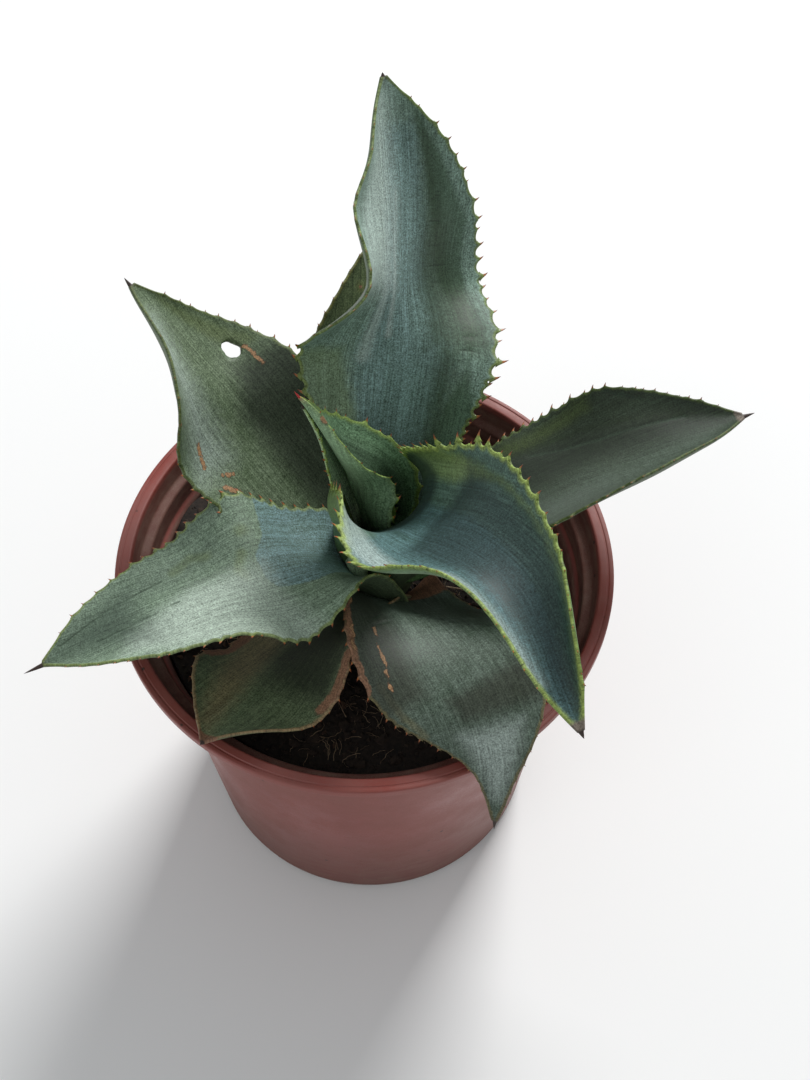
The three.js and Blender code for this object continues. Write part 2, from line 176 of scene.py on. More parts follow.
# %% Run a geometry tree on a piece and keep its result as a plain mesh
def run_tree(piece, tree, **values):
    # A value's name is its input's, with _ for a space.
    modifier = piece.modifiers.new(tree.name, "NODES")
    modifier.node_group = tree
    for item in tree.interface.items_tree:
        label = item.name.replace(" ", "_")
        if item.in_out == "INPUT" and label in values:
            modifier[item.identifier] = values[label]
    graph = bpy.context.evaluated_depsgraph_get()
    grown = piece.evaluated_get(graph)
    mesh = bpy.data.meshes.new_from_object(grown, preserve_all_data_layers=True, depsgraph=graph)
    piece.modifiers.clear()
    plain = piece.data
    piece.data = mesh
    bpy.data.meshes.remove(plain)
    mesh.name = piece.name


# %% [markdown]
# ## Camera, floor and light
# The plant was seen from the front and well above, so the camera looks down at 57 degrees. The light is a
# large soft lamp high up behind the plant and to its right, which leaves the near side of the pot and the
# hearts of the leaves in shade. A weak sky and a faint lamp at the near left fill the shadows.

# %% Camera
CAMERA_PLACE = (0.0195, -0.4084, 0.8536)
CAMERA_TILT = 32.8
CAMERA_LENS = 53.333

camera = link(bpy.data.objects.new("camera", bpy.data.cameras.new("camera")))
camera.location = CAMERA_PLACE
camera.rotation_euler = (math.radians(CAMERA_TILT), 0, 0)
camera.data.lens = CAMERA_LENS
camera.data.sensor_width = 36
bpy.context.scene.camera = camera

# %% Floor, sky and lamps
FLOOR_REACH = 6.0
FLOOR_CORNERS = ((-1, -1), (1, -1), (1, 1), (-1, 1))
FLOOR_COLOUR = (0.87, 0.87, 0.86, 1)
SKY_COLOUR = (0.93, 0.97, 1.0, 1)
SKY_STRENGTH = 0.44
LAMP = dict(place=(1.5, 3.4, 3.2), size=1.7, power=235.0)
FILL = dict(place=(-1.4, -1.6, 1.9), size=1.6, power=9.0)

floor = mesh_piece("floor", [(x * FLOOR_REACH, y * FLOOR_REACH, 0) for x, y in FLOOR_CORNERS], [(0, 1, 2, 3)])
floor_material, floor_shader = new_material("pale_floor")[::2]
floor_shader.inputs["Base Color"].default_value = FLOOR_COLOUR
floor_shader.inputs["Roughness"].default_value = 0.9
floor.data.materials.append(floor_material)

world = bpy.data.worlds.new("studio")
world.use_nodes = True
sky = world.node_tree.nodes["Background"]
sky.inputs["Color"].default_value = SKY_COLOUR
sky.inputs["Strength"].default_value = SKY_STRENGTH
bpy.context.scene.world = world
bpy.context.scene.view_settings.view_transform = "Standard"


def add_lamp(name, place, size, power):
    lamp = link(bpy.data.objects.new(name, bpy.data.lights.new(name, "AREA")))
    lamp.location = place
    lamp.rotation_euler = (-lamp.location).to_track_quat("-Z", "Y").to_euler()
    lamp.data.size = size
    lamp.data.energy = power


add_lamp("lamp", **LAMP)
add_lamp("fill", **FILL)

# %% [markdown]
# ## Shared finishes as node groups
# Three effects appear in more than one material, so each is a group that puts out a mask. The first is the
# waxy bloom of an agave: a powder that follows the fibres, rubs off in patches and is grainy close up. The
# second gives a painted field a ragged edge, for scars and dry tissue. The third is dust, lying in blotches.

# %% Noise, and a value drawn out about its middle
def noise(tree, coords, scale, detail=2.0, rough=0.5):
    inputs = {"Vector": coords, "Scale": scale, "Detail": detail, "Roughness": rough}
    return add(tree, "ShaderNodeTexNoise", inputs).outputs["Fac"]


def centred(tree, value, gain):
    return times(tree, minus(tree, value, 0.5), gain)


# %% Group: waxy bloom
BLOOM_FIBRE = (1300.0, 24.0, 0.0)
BLOOM_BAND = (190.0, 7.0, 0.0)
BLOOM_PATCH = 95.0
BLOOM_MOTTLE = 380.0
BLOOM_GRAIN = 1250.0


def make_bloom_group():
    tree, given, result = mask_group("waxy_bloom", {
        "Coords": "Vector", "Amount": 0.6, "Fibre": 0.7, "Band": 0.6, "Patch": 0.5, "Mottle": 0.5,
        "Grain": 1.3})
    flat = scaled(tree, given["Coords"], (1, 1, 0))
    layers = dict(
        Fibre=noise(tree, scaled(tree, given["Coords"], BLOOM_FIBRE), 1.0, 3.0),
        Band=noise(tree, scaled(tree, given["Coords"], BLOOM_BAND), 1.0, 3.0),
        Patch=noise(tree, flat, BLOOM_PATCH, 5.0, 0.62),
        Mottle=noise(tree, flat, BLOOM_MOTTLE, 3.0, 0.6),
        Grain=noise(tree, flat, BLOOM_GRAIN, 3.0, 0.75))
    layers = [centred(tree, value, given[gain]) for gain, value in layers.items()]
    total = plus(tree, given["Amount"], *layers)
    tree.links.new(math_node(tree, "ADD", total, 0.0, clamp=True), result["Mask"])
    return tree


# %% Group: ragged edge of a painted field
def make_ragged_group():
    tree, given, result = mask_group("ragged_edge", {
        "Field": 0.0, "Coords": "Vector", "Scale": 700.0, "Fray": 0.5, "Softness": 0.06})
    rough = noise(tree, given["Coords"], given["Scale"], 4.0, 0.6)
    frayed = plus(tree, given["Field"], centred(tree, rough, given["Fray"]))
    low, high = minus(tree, 0.5, given["Softness"]), plus(tree, 0.5, given["Softness"])
    tree.links.new(ramp(tree, frayed, low, high, interpolation_type="SMOOTHSTEP"), result["Mask"])
    return tree


# %% Group: dust in blotches
def make_dust_group():
    tree, given, result = mask_group("dust", {
        "Coords": "Vector", "Amount": 0.5, "Blotch": 22.0, "Grain": 900.0, "Contrast": 1.2})
    blotch = noise(tree, given["Coords"], given["Blotch"], 6.0, 0.6)
    grain = noise(tree, given["Coords"], given["Grain"], 2.0, 0.6)
    total = plus(tree, given["Amount"], centred(tree, blotch, given["Contrast"]))
    tree.links.new(math_node(tree, "ADD", total, centred(tree, grain, 0.9), clamp=True), result["Mask"])
    return tree


waxy_bloom = make_bloom_group()
ragged_edge = make_ragged_group()
dust = make_dust_group()
print("shader groups:", waxy_bloom.name, ragged_edge.name, dust.name)


# %% Helpers for materials
def mask_of(tree, group, inputs):
    return add(tree, "ShaderNodeGroup", inputs, node_tree=group).outputs["Mask"]


def blend(tree, factor, under, over, blend_type="MIX"):
    under, over = ((*colour, 1.0) if isinstance(colour, tuple) else colour for colour in (under, over))
    inputs = {0: factor, 6: under, 7: over}
    return add(tree, "ShaderNodeMix", inputs, data_type="RGBA", blend_type=blend_type).outputs[2]


def attribute(tree, name, output="Fac"):
    return add(tree, "ShaderNodeAttribute", attribute_name=name).outputs[output]


def object_coords(tree):
    return add(tree, "ShaderNodeTexCoord").outputs["Object"]


def dress(tree, shader, colour, height, strength, distance, roughness):
    # The colour, the bumps and the roughness of a material, which is a number or a socket.
    tree.links.new(colour, shader.inputs["Base Color"])
    bump = add(tree, "ShaderNodeBump", {"Height": height, "Strength": strength, "Distance": distance})
    tree.links.new(bump.outputs["Normal"], shader.inputs["Normal"])
    if isinstance(roughness, float):
        shader.inputs["Roughness"].default_value = roughness
    else:
        tree.links.new(roughness, shader.inputs["Roughness"])


# %% [markdown]
# ## The pot
# A nursery pot is moulded in one piece: a tapered wall, a collar and a flat lip with round edges. Spinning a
# profile is the direct way to model it. The profile is a chain of corners, each with its own round, and a
# Geometry Nodes tree turns it about the axis and bores the drain holes, so one number sets the smoothness.

# %% Profile of the pot, in millimetres: radius, height and round of each corner
POT_WALL = 2.5
POT_FLOOR = 3.0
POT_BASE = 90.0
POT_FOOT = 6.0
POT_SHOULDER = 180.0
SHOULDER_RADIUS = 104.5
POT_RIM = 120.0
POT_TOP = 200.0
LIP_UNDERSIDE = 195.0
POT_SLOPE = (SHOULDER_RADIUS - POT_BASE) / (POT_SHOULDER - POT_FOOT)
CORNER_STEPS = 5


def bore_at(height):
    return POT_BASE - POT_WALL + POT_SLOPE * (height - POT_FOOT)


POT_PROFILE = [
    (0, 0, 0),
    (POT_BASE - 2, 0, 5),
    (SHOULDER_RADIUS, POT_SHOULDER, 0.8),
    (112, 181.4, 1.2),
    (113.2, LIP_UNDERSIDE, 1.2),
    (POT_RIM, LIP_UNDERSIDE, 0.9),
    (POT_RIM, POT_TOP, 1.3),
    (117.9, POT_TOP, 0.15),
    (117.6, 199.7, 0.15),
    (117.1, 199.7, 0.15),
    (116.8, POT_TOP, 0.15),
    (113, POT_TOP, 1.0),
    (110.4, 190.6, 1.4),
    (106, 190.2, 1.6),
    (105, 180, 1.2),
    (bore_at(177.5), 177.5, 1.2),
    (bore_at(POT_FOOT) - 0.8, POT_FLOOR, 4),
    (0, POT_FLOOR, 0),
]


def rounded(profile):
    points = [profile[0][:2]]
    for before, corner, after in zip(profile, profile[1:], profile[2:]):
        here = np.array(corner[:2], float)
        edges = [np.array(before[:2]) - here, np.array(after[:2]) - here]
        lengths = [np.linalg.norm(edge) for edge in edges]
        # The arc may not eat more than half of the shorter neighbouring edge.
        reach = min(corner[2], 0.49 * min(lengths))
        start, end = (here + edge / length * reach for edge, length in zip(edges, lengths))
        for u in np.linspace(0, 1, CORNER_STEPS):
            points.append(tuple((1 - u) ** 2 * start + 2 * u * (1 - u) * here + u ** 2 * end))
    points.append(profile[-1][:2])
    return points


# %% Tree: turn a profile about the Z axis and bore a ring of holes
DRILL_SIDES = 28
DRILL_DEPTH = 40 * MM
WELD = 0.02 * MM


def make_turning_tree():
    tree, given, result = geometry_tree("turn_profile", {
        "Sides": 96, "Holes": 0, "Hole Ring": 0.05, "Hole Radius": 0.005, "Material": "Material"})
    count = add(tree, "GeometryNodeAttributeDomainSize", {0: given["Geometry"]}).outputs["Point Count"]
    size = {"Vertices X": plus(tree, given["Sides"], 1), "Vertices Y": count}
    grid = add(tree, "GeometryNodeMeshGrid", size).outputs["Mesh"]
    index = add(tree, "GeometryNodeInputIndex").outputs[0]
    place = add(tree, "GeometryNodeInputPosition").outputs[0]
    step = math_node(tree, "MODULO", index, count)
    turn = math_node(tree, "FLOOR", math_node(tree, "DIVIDE", plus(tree, index, 0.5), count))
    sampled = add(tree, "GeometryNodeSampleIndex", data_type="FLOAT_VECTOR")
    for socket, value in (("Geometry", given["Geometry"]), ("Value", place), ("Index", step)):
        tree.links.new(value, sampled.inputs[socket])
    angle = math_node(tree, "DIVIDE", times(tree, turn, math.tau), given["Sides"])
    turned = add(tree, "ShaderNodeVectorRotate", {"Vector": sampled.outputs[0], "Angle": angle},
                 rotation_type="Z_AXIS")
    placed = add(tree, "GeometryNodeSetPosition",
                 {"Geometry": grid, "Position": turned.outputs[0]}).outputs[0]
    closed = add(tree, "GeometryNodeMergeByDistance", {"Geometry": placed, "Distance": WELD}).outputs[0]
    ring = add(tree, "GeometryNodeMeshCircle", {"Vertices": given["Holes"], "Radius": given["Hole Ring"]})
    drill = add(tree, "GeometryNodeMeshCylinder",
                {"Vertices": DRILL_SIDES, "Radius": given["Hole Radius"], "Depth": DRILL_DEPTH})
    drills = add(tree, "GeometryNodeInstanceOnPoints",
                 {"Points": ring.outputs[0], "Instance": drill.outputs[0]})
    solid_drills = add(tree, "GeometryNodeRealizeInstances", {0: drills.outputs[0]}).outputs[0]
    bored = add(tree, "GeometryNodeMeshBoolean", {"Mesh 1": closed, "Mesh 2": solid_drills},
                operation="DIFFERENCE")
    smooth = add(tree, "GeometryNodeSetShadeSmooth", {0: bored.outputs[0]}).outputs[0]
    tree.links.new(realized(tree, smooth, given["Material"]), result["Geometry"])
    return tree


turning_tree = make_turning_tree()


def turn(name, profile, sides, material, centre=(0, 0), **holes):
    piece = mesh_piece(name, [(r * MM, 0, h * MM) for r, h in profile], [])
    run_tree(piece, turning_tree, Sides=sides, Material=material, **holes)
    face_outwards(piece)
    piece.data.transform(Matrix.Translation((centre[0] * MM, centre[1] * MM, 0)))
    return piece


# %% [markdown]
# The plastic is brick red. Outside, dust makes it pink and dull. Inside, water has left tan and grey lime on
# the wall and the ledge, over a darker red that is painted shade. The mask for the inside comes from the
# distance
# to the axis: a point is inside when it is nearer to the axis than the middle of the wall at its height, so
# the pot needs no second mesh.

# %% Pot plastic
# Radius of the wall's middle, in metres: at height zero, and its growth per metre of height.
WALL_MIDDLE = (0.0882, POT_SLOPE)
COLLAR_MIDDLE = (0.0754, 0.19)
COLLAR_STARTS = (0.1798, 0.1806)
LIP_STARTS = (0.1985, 0.197)
PLASTIC = ((0.215, 0.041, 0.031), (0.275, 0.058, 0.044))
PLASTIC_DUST = (0.235, 0.095, 0.078)
# Painted shade, laid over the inside of the wall and the ledge.
PLASTIC_INSIDE_SHADE = (0.08, 0.022, 0.014)
LIME_CRUST = (0.27, 0.19, 0.14)
PLASTIC_SPECK = (0.05, 0.022, 0.016)


def make_pot_plastic():
    material, tree, shader = new_material("pot_plastic")
    coords = object_coords(tree)
    height = split(tree, coords)[2]
    radius = axis_distance(tree, coords)

    def within(middle, low, high):
        limit = plus(tree, times(tree, height, middle[1]), middle[0])
        return ramp(tree, minus(tree, limit, radius), low, high)

    collar = ramp(tree, height, *COLLAR_STARTS)
    in_collar = times(tree, collar, within(COLLAR_MIDDLE, -0.0003, 0.0003), ramp(tree, height, *LIP_STARTS))
    in_wall = times(tree, within(WALL_MIDDLE, -0.0006, 0.0004), minus(tree, 1.0, collar))
    inner = math_node(tree, "MAXIMUM", in_collar, in_wall)

    dusty = mask_of(tree, dust, {
        "Coords": coords, "Amount": 0.36, "Blotch": 26.0, "Grain": 1400.0, "Contrast": 2.6})
    lime = mask_of(tree, dust, {
        "Coords": scaled(tree, coords, (1, 1, 3)), "Amount": 0.22, "Blotch": 85.0, "Grain": 1900.0})
    specks = add(tree, "ShaderNodeTexVoronoi", {"Vector": coords, "Scale": 75.0}).outputs["Distance"]
    colour = blend(tree, noise(tree, scaled(tree, coords, (60, 60, 9)), 1.0, 4.0), *PLASTIC)
    # The inside gets painted shade, and then its lime crust.
    for mask, over in ((times(tree, dusty, 0.8), PLASTIC_DUST), (times(tree, inner, 0.75), PLASTIC_INSIDE_SHADE),
                       (times(tree, lime, 0.8, inner), LIME_CRUST),
                       (ramp(tree, specks, 0.085, 0.05), PLASTIC_SPECK)):
        colour = blend(tree, mask, colour, over)
    rough = add(tree, "ShaderNodeMapRange", {0: math_node(tree, "MAXIMUM", dusty, inner), 3: 0.34, 4: 0.72})
    scratch = noise(tree, scaled(tree, coords, (30, 30, 700)), 1.0, 3.0)
    relief = plus(tree, times(tree, scratch, 0.35), noise(tree, coords, 260.0, 4.0))
    dress(tree, shader, colour, relief, 0.25, 0.35 * MM, rough.outputs[0])
    return material


pot = turn("pot_moulding", rounded(POT_PROFILE), 200, make_pot_plastic(), Holes=6, Hole_Ring=56 * MM,
           Hole_Radius=6 * MM)
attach(pot, "root")
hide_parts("pot")
print("pot:", len(pot.data.polygons), "faces, size", [round(v * 1000, 1) for v in pot.dimensions])

# %% [markdown]
# ## The soil
# Potting mix is a dark damp peat with crumbs, bark chips and tan fibres. Its surface is a disc of rings that
# leans up towards the near left, with a heap against the wall at the far left. A noise tree roughens it. A
# second tree scatters what lies on it, with fixed seeds, so every run drops each straw in the same place.

# %% Surface of the soil
SOIL_LEVEL = 172.0
SOIL_LEAN = 4.0
SOIL_LEAN_HEADING = math.radians(217)
SOIL_BUMP = 1.6
SOIL_BUMP_LENGTH = 52.0
HEAP = dict(x=-92.0, y=40.0, height=9.0, reach=19.0)
SOIL_REACH = 106.0
SOIL_SIDES = 220
SOIL_RINGS = 84
SOIL_GAP = 0.4


def soil_height(x, y):
    uphill = x * math.cos(SOIL_LEAN_HEADING) + y * math.sin(SOIL_LEAN_HEADING)
    lean = SOIL_LEAN * np.hypot(x, y) * uphill / SOIL_REACH ** 2
    wave = math.tau / SOIL_BUMP_LENGTH
    bumps = np.sin(x * wave + 1) * np.cos(y * wave) + np.sin((x - y) * wave / 2)
    heap_distance = np.hypot(x - HEAP["x"], y - HEAP["y"])
    heap = HEAP["height"] * np.exp(-heap_distance ** 2 / (2 * HEAP["reach"] ** 2))
    return SOIL_LEVEL + lean + SOIL_BUMP * bumps + heap


def soil_disc():
    angle = np.arange(SOIL_SIDES) / SOIL_SIDES * math.tau
    edge = bore_at(SOIL_LEVEL - 6) - SOIL_GAP
    radii = [bore_at(POT_FOOT) - POT_FLOOR - SOIL_GAP, bore_at(POT_FOOT) - SOIL_GAP]
    heights = [POT_FLOOR + SOIL_GAP, POT_FOOT + SOIL_GAP]
    rings = [np.stack([r * np.cos(angle), r * np.sin(angle), 0 * angle + h], 1)
             for r, h in zip(radii, heights)]
    for share in np.linspace(1, 1 / SOIL_RINGS, SOIL_RINGS):
        x, y = edge * share * np.cos(angle), edge * share * np.sin(angle)
        rings.append(np.stack([x, y, soil_height(x, y)], 1))
    points = np.concatenate([[[0, 0, heights[0]]], *rings, [[0, 0, soil_height(0.0, 0.0)]]])
    faces = []
    for side in range(SOIL_SIDES):
        after = (side + 1) % SOIL_SIDES
        faces.append((0, 1 + after, 1 + side))
        for ring in range(len(rings) - 1):
            low, high = 1 + ring * SOIL_SIDES, 1 + (ring + 1) * SOIL_SIDES
            faces.append((low + side, low + after, high + after, high + side))
        top = 1 + (len(rings) - 1) * SOIL_SIDES
        faces.append((len(points) - 1, top + side, top + after))
    return points * MM, faces


# %% Tree: roughen the faces that look up
def make_rough_tree():
    tree, given, result = geometry_tree("roughen", {"Height": 0.002, "Scale": 120.0, "Material": "Material"})
    inputs = {"Scale": given["Scale"], "Detail": 5.0, "Roughness": 0.65}
    lumps = add(tree, "ShaderNodeTexNoise", inputs).outputs["Fac"]
    offset = join(tree, z=centred(tree, lumps, given["Height"]))
    inputs = {"Geometry": given["Geometry"], "Selection": upward_faces(tree, 0.5), "Offset": offset}
    moved = add(tree, "GeometryNodeSetPosition", inputs).outputs[0]
    tree.links.new(realized(tree, moved, given["Material"]), result["Geometry"])
    return tree


# %% Soil materials
def make_soil_material(name, dark, light, scale, rough=0.95):
    material, tree, shader = new_material(name)
    lumps = noise(tree, object_coords(tree), scale, 6.0, 0.7)
    colour = blend(tree, ramp(tree, lumps, 0.35, 0.68), dark, light)
    dress(tree, shader, colour, lumps, 0.8, 0.6 * MM, rough)
    return material


peat = make_soil_material("peat", (0.006, 0.004, 0.003), (0.030, 0.019, 0.013), 420.0)
crumb = make_soil_material("peat_crumb", (0.007, 0.004, 0.003), (0.045, 0.028, 0.018), 160.0)
bark = make_soil_material("bark_chip", (0.03, 0.014, 0.008), (0.15, 0.085, 0.05), 90.0)
fibre = make_soil_material("straw_fibre", (0.13, 0.08, 0.045), (0.50, 0.37, 0.24), 60.0, 0.8)
root = make_soil_material("pale_root", (0.35, 0.27, 0.19), (0.55, 0.46, 0.36), 60.0, 0.8)

soil = mesh_piece("soil_fill", *soil_disc())
face_outwards(soil)
run_tree(soil, make_rough_tree(), Height=5.5 * MM, Scale=95.0, Material=peat)
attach(soil, "root")
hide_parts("soil")
print("soil:", len(soil.data.polygons), "faces")


# %% Crumbs, chips and fibres to scatter
def crumb_shape(name, sharp, seed):
    shape = bmesh.new()
    bmesh.ops.create_icosphere(shape, subdivisions=1, radius=0.5)
    draw = np.random.default_rng(seed)
    for vert in shape.verts:
        vert.co *= 1 + sharp * (draw.random() - 0.5)
        vert.co.z *= 0.75
    mesh = bpy.data.meshes.new(name)
    shape.to_mesh(mesh)
    shape.free()
    return bpy.data.objects.new(name, mesh)


def strand_shape(name, seed, curl, steps=7, thick=0.03):
    # A strand one unit long that wanders sideways, with three sides.
    draw = np.random.default_rng(seed)
    heading, lift = 0.0, 0.12
    place = np.zeros(3)
    points, faces = [], []
    for step in range(steps + 1):
        across = np.array([-math.sin(heading), math.cos(heading), 0])
        for side in range(3):
            turn_angle = math.tau * side / 3
            offset = across * math.cos(turn_angle) + np.array([0, 0, 1]) * math.sin(turn_angle)
            points.append(place + offset * thick / 2)
        heading += curl * (draw.random() - 0.5) * 2
        lift += 0.5 * (draw.random() - 0.5) - 0.6 * lift
        place = place + np.array([math.cos(heading), math.sin(heading), lift]) / steps
    points = np.array(points) - place * np.array([0.5, 0.5, 0])
    for step in range(steps):
        for side in range(3):
            a, b = step * 3 + side, step * 3 + (side + 1) % 3
            faces.append((a, b, b + 3, a + 3))
    faces += [(2, 1, 0), (steps * 3, steps * 3 + 1, steps * 3 + 2)]
    mesh = bpy.data.meshes.new(name)
    mesh.from_pydata(points.tolist(), [], faces)
    return bpy.data.objects.new(name, mesh)


# %% Tree: scatter a shape over the faces that look up
TURN_SEED = 5
SIZE_SEED = 9


def make_scatter_tree():
    tree, given, result = geometry_tree("scatter", {
        "Shape": "Object", "Density": 1000.0, "Seed": 1, "Smallest": 0.001, "Largest": 0.003, "Tilt": 0.3,
        "Lift": 0.0, "Reach": 0.1, "Material": "Material"})
    radius = axis_distance(tree, add(tree, "GeometryNodeInputPosition").outputs[0])
    near = add(tree, "FunctionNodeCompare", {0: radius, 1: given["Reach"]}, operation="LESS_THAN").outputs[0]
    chosen = add(tree, "FunctionNodeBooleanMath", {0: upward_faces(tree, 0.3), 1: near},
                 operation="AND").outputs[0]
    dropped = add(tree, "GeometryNodeDistributePointsOnFaces",
                  {"Mesh": given["Geometry"], "Selection": chosen, "Density": given["Density"],
                   "Seed": given["Seed"]})
    raised = add(tree, "GeometryNodeSetPosition",
                 {0: dropped.outputs[0], "Offset": join(tree, z=given["Lift"])}).outputs[0]
    back = times(tree, given["Tilt"], -1.0)
    limits = {0: join(tree, back, back), 1: join(tree, given["Tilt"], given["Tilt"], math.tau)}
    turns = add(tree, "FunctionNodeRandomValue", {**limits, "Seed": TURN_SEED},
                data_type="FLOAT_VECTOR").outputs[0]
    sizes = add(tree, "FunctionNodeRandomValue",
                {2: given["Smallest"], 3: given["Largest"], "Seed": SIZE_SEED}, data_type="FLOAT").outputs[1]
    shape = add(tree, "GeometryNodeObjectInfo", {"Object": given["Shape"]}).outputs["Geometry"]
    laid = add(tree, "GeometryNodeInstanceOnPoints",
               {"Points": raised, "Instance": shape, "Rotation": turns, "Scale": sizes}).outputs[0]
    tree.links.new(realized(tree, laid, given["Material"]), result["Geometry"])
    return tree


scatter_tree = make_scatter_tree()
SCATTER_REACH = 100.0


def scatter(name, shape, material, density, seed, sizes, tilt=0.3, lift=0.0):
    piece = link(bpy.data.objects.new(name, soil.data.copy()))
    piece.data.materials.clear()
    link(shape)
    # Nothing may reach through the wall of the pot, so long straws keep further from it.
    reach = SCATTER_REACH - sizes[1] / 2
    run_tree(piece, scatter_tree, Shape=shape, Density=density, Seed=seed, Smallest=sizes[0] * MM,
             Largest=sizes[1] * MM, Tilt=tilt, Lift=lift * MM, Reach=reach * MM, Material=material)
    bpy.data.objects.remove(shape)
    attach(piece, "root")
    print(name + ":", len(piece.data.polygons), "faces")


# %% Dress the soil
scatter("soil_crumbs", crumb_shape("crumb", 0.8, 3), crumb, 60000, 11, (1.0, 3.2))
scatter("soil_lumps", crumb_shape("lump", 1.0, 4), crumb, 9000, 12, (3.0, 7.0))
scatter("bark_chips", crumb_shape("chip", 1.6, 5), bark, 3500, 13, (1.5, 5.0), 0.8, 0.3)
for kind in range(3):
    scatter(f"straw_fibres_{kind}", strand_shape("strand", 20 + kind, 0.75), fibre, 7000, 30 + kind,
            (4.0, 13.0), 0.35, 0.9)
scatter("straws", strand_shape("straw", 41, 0.08, 3, 0.05), fibre, 900, 42, (9.0, 24.0), 0.15, 1.4)
scatter("root_bits", strand_shape("root", 51, 0.4, 4, 0.12), root, 900, 52, (2.5, 6.0), 0.5, 0.8)

# %% [markdown]
# ## The stem
# The stem hides under the leaf bases. It is short and round, with rings where old leaves were, so it is
# turned from a profile with a ripple.

# %% Turn the stem
STEM = dict(x=5.0, y=6.0, radius=15.0, foot=140.0, shoulder=198.0, top=226.0, tip=4.0)
RING_SPACING = 6.0
RING_DEPTH = 0.35


def stem_profile():
    profile = [(0, STEM["foot"]), (STEM["tip"], STEM["foot"])]
    for height in np.linspace(STEM["foot"] + STEM["radius"], STEM["shoulder"], 60):
        ripple = RING_DEPTH * math.cos(math.tau * height / RING_SPACING)
        profile.append((STEM["radius"] - RING_DEPTH + ripple, height))
    return profile + [(STEM["tip"], STEM["top"]), (0, STEM["top"])]


stem_skin = make_soil_material("stem_skin", (0.05, 0.06, 0.02), (0.16, 0.17, 0.07), 130.0, 0.7)
stem = turn("stem_core", stem_profile(), 48, stem_skin, centre=(STEM["x"], STEM["y"]))
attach(stem, "root")
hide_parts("stem")

# %% [markdown]
# ## The leaves
# An agave leaf is a thick gutter that follows its midrib. Eight stations from root to tip say how it climbs,
# turns, spreads and rolls up its margins, and a smooth curve runs through them. These are the same numbers as
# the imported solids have, so each fine leaf lies where its solid is, with ten times as many steps.

# %% Numbers of the leaves, in millimetres and degrees
STATIONS = np.array([0, 0.1, 0.24, 0.4, 0.56, 0.72, 0.87, 1])
MIDRIB_THICKNESS = [10, 8.5, 6.5, 5.2, 4.4, 3.8, 3.2, 2.4]
MARGIN_THICKNESS = 1.3
CURL = 1.3
SWELL = 1.6

